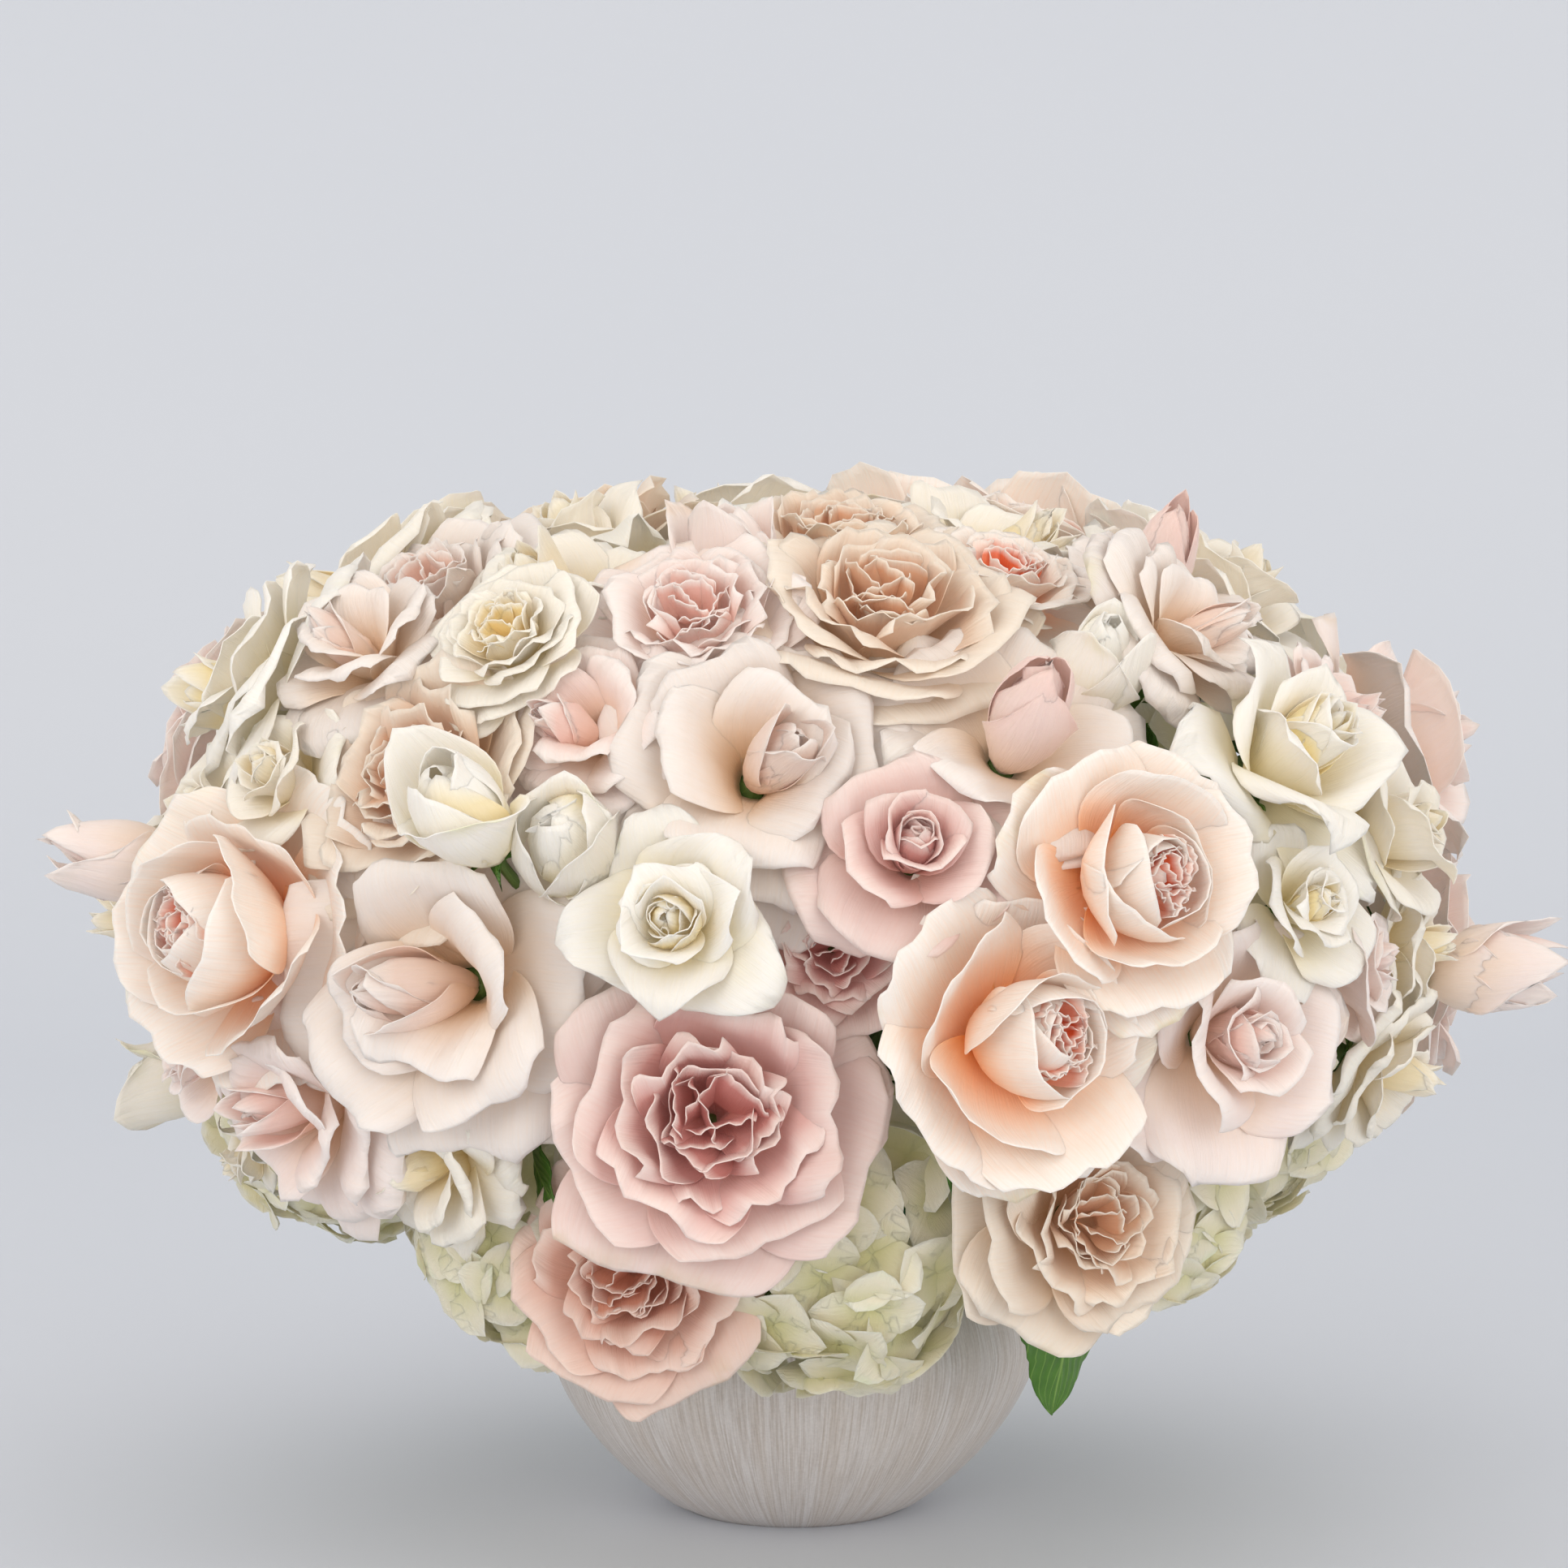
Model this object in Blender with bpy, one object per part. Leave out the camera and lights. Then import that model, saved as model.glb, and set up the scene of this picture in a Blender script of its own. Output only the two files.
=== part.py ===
import math

import bmesh
import bpy
from mathutils import Matrix, Quaternion, Vector

# A low, wide dome of cut roses and hydrangeas. Every stem stands in a soaked foam plug in a turned bowl.
# Metres and degrees. The origin is the centre of the bowl's foot, +Z is up and the front faces -Y.
mm = 0.001
fitGap = 0.4 * mm

# Bowl: its outline swells from the foot to the widest point and closes a little towards the rim.
bowlRadius = 94.5 * mm
bowlWidestHeight = 67 * mm
bowlCurveHeight = 82 * mm
bowlCurvePower = 1.65
bowlRimHeight = 96 * mm
bowlWall = 5.5 * mm
bowlFloor = 8 * mm
bowlCorners = 40
bowlOuterRows, bowlInnerRows = 9, 6

# Foam: a plug that fills the bowl, with a dome above the rim that takes the stems.
foamCentre = Vector((0, 0, 104 * mm))
foamRadius = 77 * mm
foamDomeHeight = 64 * mm
foamSideGap = 1.2 * mm
foamCorners = 32
foamRows = 4
foamDomeStep = 18
stemDepth = 25 * mm
holeBreakout = 14 * mm

# Flower dome: a rounded ellipsoid that the hearts of the flowers lie on.
domeCentre = Vector((0, 0, 235 * mm))
domeHalfWidth = 265 * mm
domeHalfDepth = 235 * mm
domeHalfHeight = 155 * mm
domePower = 2.4
lowestPlace = -35
roseLowestEntry, hydrangeaLowestEntry = 33, 7

# Stems and heads. A head's solid core leaves its thin outer petals room to lap over the next flower.
roseStemRadius = 2.6 * mm
shootRadius = 2.0 * mm
hydrangeaStemRadius = 3.4 * mm
stemExit = 4 * mm
neckLength = 6 * mm
leaveReach, arriveReach = 0.45, 0.38
headCorners = 8
hydrangeaCorners = 12
coreShare = 0.39
budCoreShare = 0.44
hydrangeaCoreShare = 0.39
budWidth = 48
headGap = 1.2 * mm
footGap = 1.6 * mm
settlingRounds = 160
leafThickness = 1.2 * mm
leafCorners = 8
bladeWidths = (0.12, 0.62, 0.95, 1.0, 0.8, 0.45, 0.06)

# Outlines of a head, from the neck to the flat crown: distance behind the crown, and radius, both as
# shares of the core's widest radius.
openOutline = ((1.30, 0.17), (0.92, 0.74), (0.38, 1.0), (0.0, 0.62))
budOutline = ((2.65, 0.42), (2.2, 0.78), (1.3, 1.0), (0.0, 0.40))
hydrangeaOutline = ((1.78, 0.30), (1.5, 0.76), (0.92, 1.0), (0.36, 0.86), (0.0, 0.46))

# How far behind the crown the ball lies that keeps each head clear of its neighbours, in the same shares.
openBallBack, budBallBack, hydrangeaBallBack = 0.55, 1.25, 0.9

petalColours = {
    "petal_white": (0.90, 0.88, 0.80),
    "petal_cream": (0.90, 0.82, 0.66),
    "petal_blush": (0.86, 0.70, 0.63),
    "petal_peach": (0.90, 0.68, 0.52),
    "petal_beige": (0.78, 0.60, 0.47),
    "petal_mauve": (0.66, 0.42, 0.39),
}

# Each rose stem has a name, a petal colour and its blooms, the main one first. A bloom is given by its
# place on the dome (degrees round from the front, degrees up), its width and its lift off the dome in
# millimetres, and the way it faces (degrees round, degrees up).
roseStems = (
    ("rose_mauve_front", "petal_mauve", (-6.5, -11, 96, 14, 2, 12)),
    ("rose_dusty_low_left", "petal_beige", (-18.5, -29.5, 78, 6, -12, 4)),
    ("rose_cream_peach_front", "petal_peach", (19, 2, 86, 12, 22, 6)),
    ("spray_peach_right", "petal_peach", (20, 6, 78, 8, 20, 12), (11, 5, 38, -6, 8, 12)),
    ("spray_blush_spiral_right", "petal_blush", (38.5, -5, 82, 4, 32, 4), (33, -15, 56, -10, 36, -24)),
    ("rose_beige_low_right", "petal_beige", (30, -17.5, 76, 2, 27, 6)),
    ("spray_mauve_middle", "petal_mauve", (10, 11.5, 68, -8, 6, 26), (8, 2.5, 56, -18, 4, 10)),
    ("rose_white_spiral", "petal_white", (-8.5, 8, 72, 8, -8, 12)),
    ("spray_white_middle_left", "petal_white", (-22, 13, 44, 12, -14, 30), (-29.5, 16.5, 42, 16, -30, 42)),
    ("rose_reflexed_middle", "petal_white", (-2.5, 15.5, 92, 2, 0, 26)),
    ("rose_reflexed_pink_bud", "petal_white", (20, 17.5, 88, 4, 19, 40)),
    ("rose_cream_top", "petal_beige", (14, 35, 92, 4, 12, 58)),
    ("spray_beige_top", "petal_beige", (13, 55, 78, 4, 10, 74), (-10, 50, 38, 10, -10, 78)),
    ("spray_peach_top_right", "petal_peach", (34, 44, 60, 0, 36, 62), (33, 29, 36, 6, 26, 56)),
    ("rose_blush_bud_top_right", "petal_blush", (57, 39, 74, 4, 55, 70)),
    ("spray_blush_fold_right", "petal_blush", (49, 27, 66, 2, 62, 34), (63, 20, 52, -4, 70, 34)),
    ("rose_white_right", "petal_white", (47, 17, 90, 10, 50, 36)),
    ("rose_cream_right", "petal_cream", (61, 8, 64, 2, 68, 22)),
    ("spray_blush_right", "petal_blush", (55, 0, 68, 0, 72, 4), (45, 4, 50, 2, 44, 18)),
    ("spray_cream_far_right", "petal_cream", (66, -4, 54, -4, 80, -4), (74, -4, 36, 18, 92, 2)),
    ("rose_drooping_right", "petal_cream", (64, -13, 60, 0, 68, -30)),
    ("spray_pink_upper", "petal_blush", (-13, 33, 72, 0, -12, 48), (-21, 23, 60, -4, -28, 30)),
    ("rose_cream_top_left", "petal_cream", (-33, 38, 88, 0, -28, 66)),
    ("rose_blush_top_left", "petal_blush", (-54, 37, 80, 0, -48, 52)),
    ("spray_blush_left", "petal_blush", (-46, 28, 64, 2, -44, 52), (-32, 26, 54, -4, -34, 42)),
    ("rose_white_back_left", "petal_white", (-67, 21, 86, 2, -92, 26)),
    ("rose_beige_left", "petal_beige", (-36, 20, 90, 6, -38, 30)),
    ("spray_cream_left", "petal_cream", (-49, 11, 52, -4, -52, 28), (-61, 12, 56, -4, -66, 24)),
    ("rose_peach_left", "petal_peach", (-49, 1, 94, 10, -39, 6)),
    ("rose_reflexed_left", "petal_white", (-30.5, -2.5, 104, 12, -22, 2)),
    ("spray_blush_low_left", "petal_blush", (-47, -11.5, 76, 4, -46, -12), (-75, -24, 46, -4, -74, -32)),
    ("rose_cream_low_left", "petal_cream", (-40, -19, 58, 0, -42, -20)),
    ("spray_pink_far_left", "petal_blush", (-64, -11, 52, -2, -68, -6), (-78, -15, 40, 4, -82, -12)),
    ("spray_dusty_bud_left", "petal_blush", (-89, -3, 78, -4, -94, -2), (-69.5, 5.5, 38, 18, -84, 14)),
    ("spray_blush_side_right", "petal_blush", (88, 14, 96, 0, 90, 16), (95, -8, 96, 0, 95, -8)),
    ("spray_cream_side_right", "petal_cream", (82, 36, 90, 0, 82, 44), (55, 58, 88, 0, 55, 66)),
    ("spray_white_back_right", "petal_white", (112, 14, 100, 0, 112, 16), (121, -8, 98, 0, 121, -10),
     (108, 35, 92, 0, 108, 42)),
    ("spray_beige_back_low", "petal_beige", (148, -8, 100, 0, 148, -10), (172, -8, 96, 0, 172, -6)),
    ("spray_peach_back_top", "petal_peach", (136, 35, 98, 0, 136, 42), (145, 58, 90, 0, 145, 64),
     (98, 58, 92, 0, 98, 66)),
    ("spray_blush_back", "petal_blush", (172, 14, 100, 0, 172, 16), (164, 35, 96, 0, 164, 42)),
    ("spray_white_crown", "petal_white", (-168, 58, 96, 0, -168, 66), (-167, 35, 96, 0, -167, 40),
     (20, 82, 100, 0, 20, 84)),
    ("spray_peach_back_low", "petal_peach", (-163, -8, 100, 0, -163, -8), (-139, -8, 98, 0, -139, -6)),
    ("spray_beige_back_left", "petal_beige", (-139, 35, 96, 0, -139, 42), (-128, 14, 96, 0, -128, 16),
     (-122, 58, 92, 0, -122, 66)),
    ("spray_blush_side_left", "petal_blush", (-103, 14, 94, 0, -103, 16), (-116, -8, 98, 0, -116, -8)),
    ("spray_cream_side_left", "petal_cream", (-84, 36, 90, 0, -84, 42), (-111, 35, 94, 0, -111, 40),
     (-72, 58, 90, 0, -72, 66)),
)

# Hydrangea heads: a low ring round the bowl, and two at the back.
hydrangeaStems = (
    ("hydrangea_front", (5, -34, 110, 2, 4, -26)),
    ("hydrangea_front_left", (-34, -35, 104, 0, -32, -28)),
    ("hydrangea_front_right", (42, -27, 88, -4, 42, -18)),
    ("hydrangea_side_right", (87, -25, 88, -28, 87, -20)),
    ("hydrangea_back_right", (117, -30, 116, 0, 117, -24)),
    ("hydrangea_back_low", (160, -30, 116, 0, 160, -24)),
    ("hydrangea_back_left", (-152, -30, 116, 0, -152, -24)),
    ("hydrangea_side_left", (-108, -25, 104, 0, -108, -20)),
    ("hydrangea_back_upper_right", (143, 14, 122, 0, 143, 16)),
    ("hydrangea_back_upper_left", (-154, 14, 122, 0, -154, 16)),
)

# Leaves: name, degrees round and up where the stalk leaves the foam, then in millimetres how far out the
# blade starts, where its tip is (out, sideways and up from the foam's centre), and the blade's width.
leafStems = (
    ("leaf_low_right", 44, 9, 122, (140, -9, -47), 56),
    ("leaf_back_left", -174, 12, 100, (150, 0, -40), 32),
    ("leaf_back", 139, 12, 100, (152, 0, -40), 30),
)


def bearing(around, up):
    a, u = math.radians(around), math.radians(up)
    return Vector((math.sin(a) * math.cos(u), -math.cos(a) * math.cos(u), math.sin(u)))


def domePoint(around, up, lift):
    way = bearing(around, up)
    level = math.hypot(way.x / domeHalfWidth, way.y / domeHalfDepth)
    reach = (level**domePower + abs(way.z / domeHalfHeight) ** domePower) ** (-1 / domePower)
    return domeCentre + way * (reach + lift * mm)


def bowlOuterRadius(height):
    share = abs(height - bowlWidestHeight) / bowlCurveHeight
    return bowlRadius * (1 - share**bowlCurvePower) ** (1 / bowlCurvePower)


# How far the foam's dome reaches from its centre in a direction.
def foamReach(way):
    level = math.hypot(way.x, way.y) / foamRadius
    return 1 / math.hypot(level, way.z / foamDomeHeight)


# Where a stem enters the foam: its place on the dome, squeezed into the part above the rim.
def entryAngles(around, up, lowestEntry):
    return around, lowestEntry + (up - lowestPlace) * (90 - lowestEntry) / (90 - lowestPlace)


# Pushes balls that are nearer than the gap apart, a little at a time.
def settle(points, radii, gap):
    for _ in range(settlingRounds):
        for i, first in enumerate(points):
            for j in range(i + 1, len(points)):
                apart = points[j] - first
                short = radii[i] + radii[j] + gap - apart.length
                if short > 0:
                    push = apart.normalized() * short / 2
                    first -= push
                    points[j] += push


def makeMaterial(name, colour, roughness):
    material = bpy.data.materials.get(name)
    if material is None:
        material = bpy.data.materials.new(name)
        material.use_nodes = True
        shader = material.node_tree.nodes["Principled BSDF"]
        shader.inputs["Base Color"].default_value = (*colour, 1)
        shader.inputs["Roughness"].default_value = roughness
        shader.inputs["Metallic"].default_value = 0
    return material


# The placement of one cross-section: the unit circle scaled, turned and moved to its point.
def section(point, turn, halfWidth, halfThickness):
    scale = Matrix.Diagonal((halfWidth, halfThickness, 1, 1))
    return Matrix.Translation(point) @ turn.to_matrix().to_4x4() @ scale


# A closed solid through the sections: a flat cap is extruded from one to the next.
def sweep(mesh, sections, corners):
    circle = bmesh.ops.create_circle(mesh, cap_ends=True, radius=1, segments=corners, matrix=sections[0])
    cap = circle["verts"][0].link_faces[0]
    for before, after in zip(sections, sections[1:]):
        grown = bmesh.ops.extrude_face_region(mesh, geom=[cap])
        if before is not sections[0]:
            bmesh.ops.delete(mesh, geom=[cap], context="FACES_ONLY")
        cap = next(item for item in grown["geom"] if isinstance(item, bmesh.types.BMFace))
        bmesh.ops.transform(mesh, matrix=after @ before.inverted(), verts=cap.verts)
    bmesh.ops.recalc_face_normals(mesh, faces=mesh.faces)


def addObject(name, mesh, material):
    data = bpy.data.meshes.new(name)
    mesh.to_mesh(data)
    mesh.free()
    data.materials.append(material)
    data.shade_smooth()
    data.set_sharp_from_angle(angle=math.radians(35))
    piece = bpy.data.objects.new(name, data)
    bpy.context.collection.objects.link(piece)
    return piece


def addBoolean(piece, other, operation):
    other.hide_render = True
    other.display_type = "WIRE"
    boolean = piece.modifiers.new(operation.lower(), "BOOLEAN")
    boolean.operation = operation
    boolean.solver = "EXACT"
    boolean.object = other


# Points and directions along a smooth curve that leaves and arrives in the given directions.
def curvePath(start, startWay, end, endWay, steps):
    reach = (end - start).length
    handles = start + startWay * reach * leaveReach, end - endWay * reach * arriveReach
    control = (start, *handles, end)
    path = []
    for step in range(steps + 1):
        t = step / steps
        u = 1 - t
        pointShares = (u**3, 3 * u * u * t, 3 * u * t * t, t**3)
        wayShares = (u * u, 2 * u * t, t * t)
        point = sum((knot * share for knot, share in zip(control, pointShares)), Vector())
        legs = [after - before for before, after in zip(control, control[1:])]
        way = sum((leg * share for leg, share in zip(legs, wayShares)), Vector())
        path.append((point, way.normalized()))
    return path


# Round sections along a path, each turned from the one before without twisting, and the last turn.
def alongPath(path, radius):
    before = path[0][1]
    turn = Vector((0, 0, 1)).rotation_difference(before)
    sections = []
    for point, way in path:
        turn = before.rotation_difference(way) @ turn
        before = way
        sections.append(section(point, turn, radius, radius))
    return sections, turn


# One flower head: where its crown is, the way it faces, and its core's radius and outline.
class Head:
    def __init__(self, place, coreRadius, outline, ballBack):
        around, up, _, lift, faceAround, faceUp = place
        self.facing = bearing(faceAround, faceUp)
        self.radius = coreRadius
        self.outline = outline
        self.ballBack = ballBack * coreRadius
        self.ball = domePoint(around, up, lift) - self.facing * self.ballBack

    def behindCrown(self, distance):
        return self.ball + self.facing * (self.ballBack - distance)

    def neck(self):
        return self.behindCrown(self.radius * self.outline[0][0] + neckLength)

    def sections(self, turn):
        return [section(self.behindCrown(self.radius * back), turn, self.radius * wide, self.radius * wide)
                for back, wide in self.outline]


def roseHead(place):
    width = place[2]
    if width < budWidth:
        return Head(place, width * mm * budCoreShare, budOutline, budBallBack)
    return Head(place, width * mm * coreShare, openOutline, openBallBack)


def hydrangeaHead(place):
    return Head(place, place[2] * mm * hydrangeaCoreShare, hydrangeaOutline, hydrangeaBallBack)


# A stem from its foot in the foam to the main head, with a side shoot to each other head.
def addStemmed(name, heads, foot, entryWay, stemRadius, corners, material):
    leaves = foot + entryWay * (stemDepth + stemExit)
    path = curvePath(leaves, entryWay, heads[0].neck(), heads[0].facing, 4)
    sections, turn = alongPath([(foot, entryWay)] + path, stemRadius)
    mesh = bmesh.new()
    sweep(mesh, sections + heads[0].sections(turn), corners)
    stem = addObject(name, mesh, material)
    forkPoint, forkWay = path[2]
    for head in heads[1:]:
        towards = (head.neck() - forkPoint).normalized()
        shootPath = curvePath(forkPoint, (forkWay + towards).normalized(), head.neck(), head.facing, 3)
        sections, turn = alongPath(shootPath, shootRadius)
        mesh = bmesh.new()
        sweep(mesh, sections + head.sections(turn), corners)
        addBoolean(stem, addObject(name + "_shoot", mesh, material), "UNION")


def addBowl(material):
    rimRadius = bowlWall / 2
    rimHeight = bowlRimHeight - rimRadius
    rimMiddle = bowlOuterRadius(rimHeight) - rimRadius
    outline = []
    for row in range(bowlOuterRows + 1):
        height = rimHeight * row / bowlOuterRows
        outline.append((bowlOuterRadius(height), height))
    for degrees in (45, 90, 135):
        a = math.radians(degrees)
        outline.append((rimMiddle + rimRadius * math.cos(a), rimHeight + rimRadius * math.sin(a)))
    for row in range(bowlInnerRows + 1):
        height = rimHeight + (bowlFloor - rimHeight) * row / bowlInnerRows
        outline.append((bowlOuterRadius(height) - bowlWall, height))
    addTurned("bowl", outline, bowlCorners, material)


# A turned solid about the upright axis, through (radius, height) pairs.
def addTurned(name, outline, corners, material):
    upright = Quaternion()
    mesh = bmesh.new()
    sweep(mesh, [section(Vector((0, 0, z)), upright, r, r) for r, z in outline], corners)
    return addObject(name, mesh, material)


# The foam plug, with a hole for each stem: feet lists where each stem stands, its way and its radius.
def addFoam(feet, material):
    floor = bowlFloor + fitGap
    outline = []
    for row in range(foamRows + 1):
        height = floor + (foamCentre.z - floor) * row / foamRows
        outline.append((min(foamRadius, bowlOuterRadius(height) - bowlWall - foamSideGap), height))
    for degrees in range(foamDomeStep, 90, foamDomeStep):
        a = math.radians(degrees)
        outline.append((foamRadius * math.cos(a), foamCentre.z + foamDomeHeight * math.sin(a)))
    foam = addTurned("floral_foam", outline, foamCorners, material)
    holes = bmesh.new()
    for foot, way, stemRadius in feet:
        turn = Vector((0, 0, 1)).rotation_difference(way)
        radius = stemRadius + fitGap
        ends = (foot - way * fitGap, foot + way * (stemDepth + holeBreakout))
        sweep(holes, [section(end, turn, radius, radius) for end in ends], headCorners)
    addBoolean(foam, addObject("stem_holes", holes, material), "DIFFERENCE")


# A turn whose Z runs along the way and whose X stays level, across the blade.
def bladeTurn(way, level):
    across = (level - way * level.dot(way)).normalized()
    return Matrix((across, way.cross(across), way)).transposed().to_quaternion()


# A leaf on its stalk: the stalk's round section flattens into the blade, which narrows to the tip.
def addLeaf(name, foot, entryWay, bladeStart, tip, width, material):
    out = Vector((entryWay.x, entryWay.y, 0)).normalized()
    level = Vector((0, 0, 1)).cross(out)
    leaves = foot + entryWay * (stemDepth + stemExit)
    middle = foamCentre + (out + Vector((0, 0, entryWay.z))) * bladeStart * mm
    end = foamCentre + (out * tip[0] + level * tip[1] + Vector((0, 0, tip[2]))) * mm
    down = (end - middle).normalized()
    stalk = curvePath(leaves, entryWay, middle, (out * 2 + down).normalized(), 2)
    blade = curvePath(middle, stalk[-1][1], end, (down - out * 0.4).normalized(), len(bladeWidths) - 1)
    sections = []
    for point, way in [(foot, entryWay)] + stalk[:-1]:
        sections.append(section(point, bladeTurn(way, level), shootRadius, shootRadius))
    for (point, way), share in zip(blade, bladeWidths):
        sections.append(section(point, bladeTurn(way, level), width * mm / 2 * share, leafThickness / 2))
    mesh = bmesh.new()
    sweep(mesh, sections, leafCorners)
    addObject(name, mesh, material)


for piece in list(bpy.data.objects):
    bpy.data.objects.remove(piece)

ceramic = makeMaterial("ceramic", (0.82, 0.79, 0.75), 0.6)
foamGreen = makeMaterial("foam", (0.07, 0.20, 0.10), 0.95)
leafGreen = makeMaterial("leaf_green", (0.06, 0.13, 0.03), 0.45)
hydrangeaPetal = makeMaterial("petal_hydrangea", (0.74, 0.78, 0.60), 0.6)

# Stems, as (name, heads, where the stem enters the foam, radius, corners, material).
stems = []
for name, colour, *places in roseStems:
    heads = [roseHead(place) for place in places]
    entry = entryAngles(places[0][0], places[0][1], roseLowestEntry)
    petal = makeMaterial(colour, petalColours[colour], 0.55)
    stems.append((name, heads, entry, roseStemRadius, headCorners, petal))
for name, place in hydrangeaStems:
    entry = entryAngles(place[0], place[1], hydrangeaLowestEntry)
    stems.append((name, [hydrangeaHead(place)], entry, hydrangeaStemRadius, hydrangeaCorners, hydrangeaPetal))

allHeads = [head for stem in stems for head in stem[1]]
settle([head.ball for head in allHeads], [head.radius for head in allHeads], headGap)

entryWays = [bearing(*stem[2]) for stem in stems] + [bearing(leaf[1], leaf[2]) for leaf in leafStems]
radii = [stem[3] for stem in stems] + [shootRadius] * len(leafStems)
feet = [way * (foamReach(way) - stemDepth) for way in entryWays]
settle(feet, radii, footGap)
entryWays = [foot.normalized() for foot in feet]
feet = [foamCentre + way * (foamReach(way) - stemDepth) for way in entryWays]

for (name, heads, _, radius, corners, petal), foot, way in zip(stems, feet, entryWays):
    addStemmed(name, heads, foot, way, radius, corners, petal)
for (name, _, _, bladeStart, tip, width), foot, way in zip(leafStems, feet[len(stems):],
                                                         entryWays[len(stems):]):
    addLeaf(name, foot, way, bladeStart, tip, width, leafGreen)
addBowl(ceramic)
addFoam(list(zip(feet, entryWays, radii)), foamGreen)
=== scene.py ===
import math
import bpy
import numpy as np
from mathutils import Matrix, Vector


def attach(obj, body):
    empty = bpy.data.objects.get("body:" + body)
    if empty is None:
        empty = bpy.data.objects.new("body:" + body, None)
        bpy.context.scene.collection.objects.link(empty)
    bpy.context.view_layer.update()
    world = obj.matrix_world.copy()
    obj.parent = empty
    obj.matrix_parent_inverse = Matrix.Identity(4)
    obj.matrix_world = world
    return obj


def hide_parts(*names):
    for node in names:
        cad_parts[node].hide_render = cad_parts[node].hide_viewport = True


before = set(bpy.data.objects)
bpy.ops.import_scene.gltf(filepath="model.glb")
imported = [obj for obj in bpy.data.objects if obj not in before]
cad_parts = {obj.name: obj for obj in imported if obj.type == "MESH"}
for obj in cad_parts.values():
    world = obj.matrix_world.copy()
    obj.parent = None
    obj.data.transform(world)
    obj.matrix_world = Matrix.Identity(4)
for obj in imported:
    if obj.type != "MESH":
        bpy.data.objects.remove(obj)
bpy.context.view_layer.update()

mm = 0.001

# Construction values shared with the solid model: how stems stand in the foam, and the shape of a core: its
# flat crown and its length in core radii, and its own radius as a share of the open flower's.
stems = {
    "depth": 25 * mm, "exit": 4 * mm, "neck": 6 * mm, "leave": 0.45, "arrive": 0.38,
    "roseRadius": 2.6 * mm, "shootRadius": 2.0 * mm, "hydrangeaRadius": 3.4 * mm, "steps": 12,
}
cores = {
    "open": {"crown": 0.62, "length": 1.30, "share": 0.74},
    "bud": {"crown": 0.40, "length": 2.65, "share": 0.88},
    "hydrangea": {"crown": 0.46, "length": 1.78, "share": 0.78},
}


def toLinear(hexColour, alpha=1.0):
    channels = [int(hexColour[i:i + 2], 16) / 255 for i in (1, 3, 5)]
    linear = [c / 12.92 if c <= 0.04045 else ((c + 0.055) / 1.055) ** 2.4 for c in channels]
    return (*linear, alpha)


# Adds a node with its settings, and links its inputs to sockets, or to the first output of other nodes.
def addNode(tree, kind, settings=None, links=None):
    node = tree.nodes.new(kind)
    for key, value in (settings or {}).items():
        if isinstance(key, int) or key in node.inputs:
            node.inputs[key].default_value = value
        else:
            setattr(node, key, value)
    for key, source in (links or {}).items():
        tree.links.new(getattr(source, "outputs", [source])[0], node.inputs[key])
    return node


def newMaterial(name, shaderSettings):
    material = bpy.data.materials.new(name)
    material.use_nodes = True
    tree = material.node_tree
    shader = tree.nodes["Principled BSDF"]
    for key, value in shaderSettings.items():
        shader.inputs[key].default_value = value
    return material, tree, shader


petalFinish = {
    "Roughness": 0.5, "IOR": 1.4, "Specular IOR Level": 0.3, "Sheen Weight": 0.1, "Sheen Roughness": 0.4,
    "Subsurface Weight": 0.55, "Subsurface Radius": (1.0, 0.9, 0.85), "Subsurface Scale": 0.7 * mm,
    # Emission Strength is a painted glow that lifts the shade between and inside the petals.
    "Emission Strength": 0.06,
}
# Claw and heart colours are the flower's own, set deeper still as painted warm shade in the crevices where
# they show.
petalLooks = {
    "white": {"body": "#F9F4EA", "claw": "#F4E2A8", "rim": "#FAF7F1", "heart": "#FBDD88", "reach": 0.55,
              "fade": 0.4, "stain": "#E2E0BC"},
    "blushWhite": {"body": "#F2E6DD", "claw": "#F0CCA2", "rim": "#F6EFEA", "heart": "#F0CDBE", "reach": 0.5,
                   "fade": 0.5, "stain": "#E6DEC0"},
    "cream": {"body": "#F8F1E5", "claw": "#F4DDA2", "rim": "#FAF5EA", "heart": "#F8DEA2", "reach": 0.45,
              "fade": 0.4, "stain": "#DEDAB0"},
    "blush": {"body": "#F8E6DF", "claw": "#F4CFAA", "rim": "#FAF1EC", "heart": "#F2C6BA", "reach": 0.65,
              "fade": 0.4, "stain": "#E2C6A8"},
    "peach": {"body": "#FAE9DC", "claw": "#FFA850", "rim": "#FBF5EE", "heart": "#F47E56", "reach": 0.35,
              "fade": 0.4, "stain": "#E8D8AE"},
    "beige": {"body": "#EEDCCA", "claw": "#E9C290", "rim": "#F4EADD", "heart": "#E6BA9A", "reach": 0.75,
              "fade": 0.35, "stain": "#DAC698"},
    "dusty": {"body": "#EBC9BA", "claw": "#E0A780", "rim": "#F4DFD4", "heart": "#D6967E", "reach": 0.9,
              "fade": 0.35, "stain": "#D2B88C"},
    "mauve": {"body": "#EECEC7", "claw": "#DFA48E", "rim": "#F6E5DE", "heart": "#D28E87", "reach": 0.8,
              "fade": 0.6, "stain": "#D8C4A8"},
    "pinkBud": {"body": "#F6DFD8", "claw": "#EADFB4", "rim": "#F4D6CE", "heart": "#F5DAD2", "reach": 0.9,
                "fade": 0.2, "stain": "#D8C4A8"},
}


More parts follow.
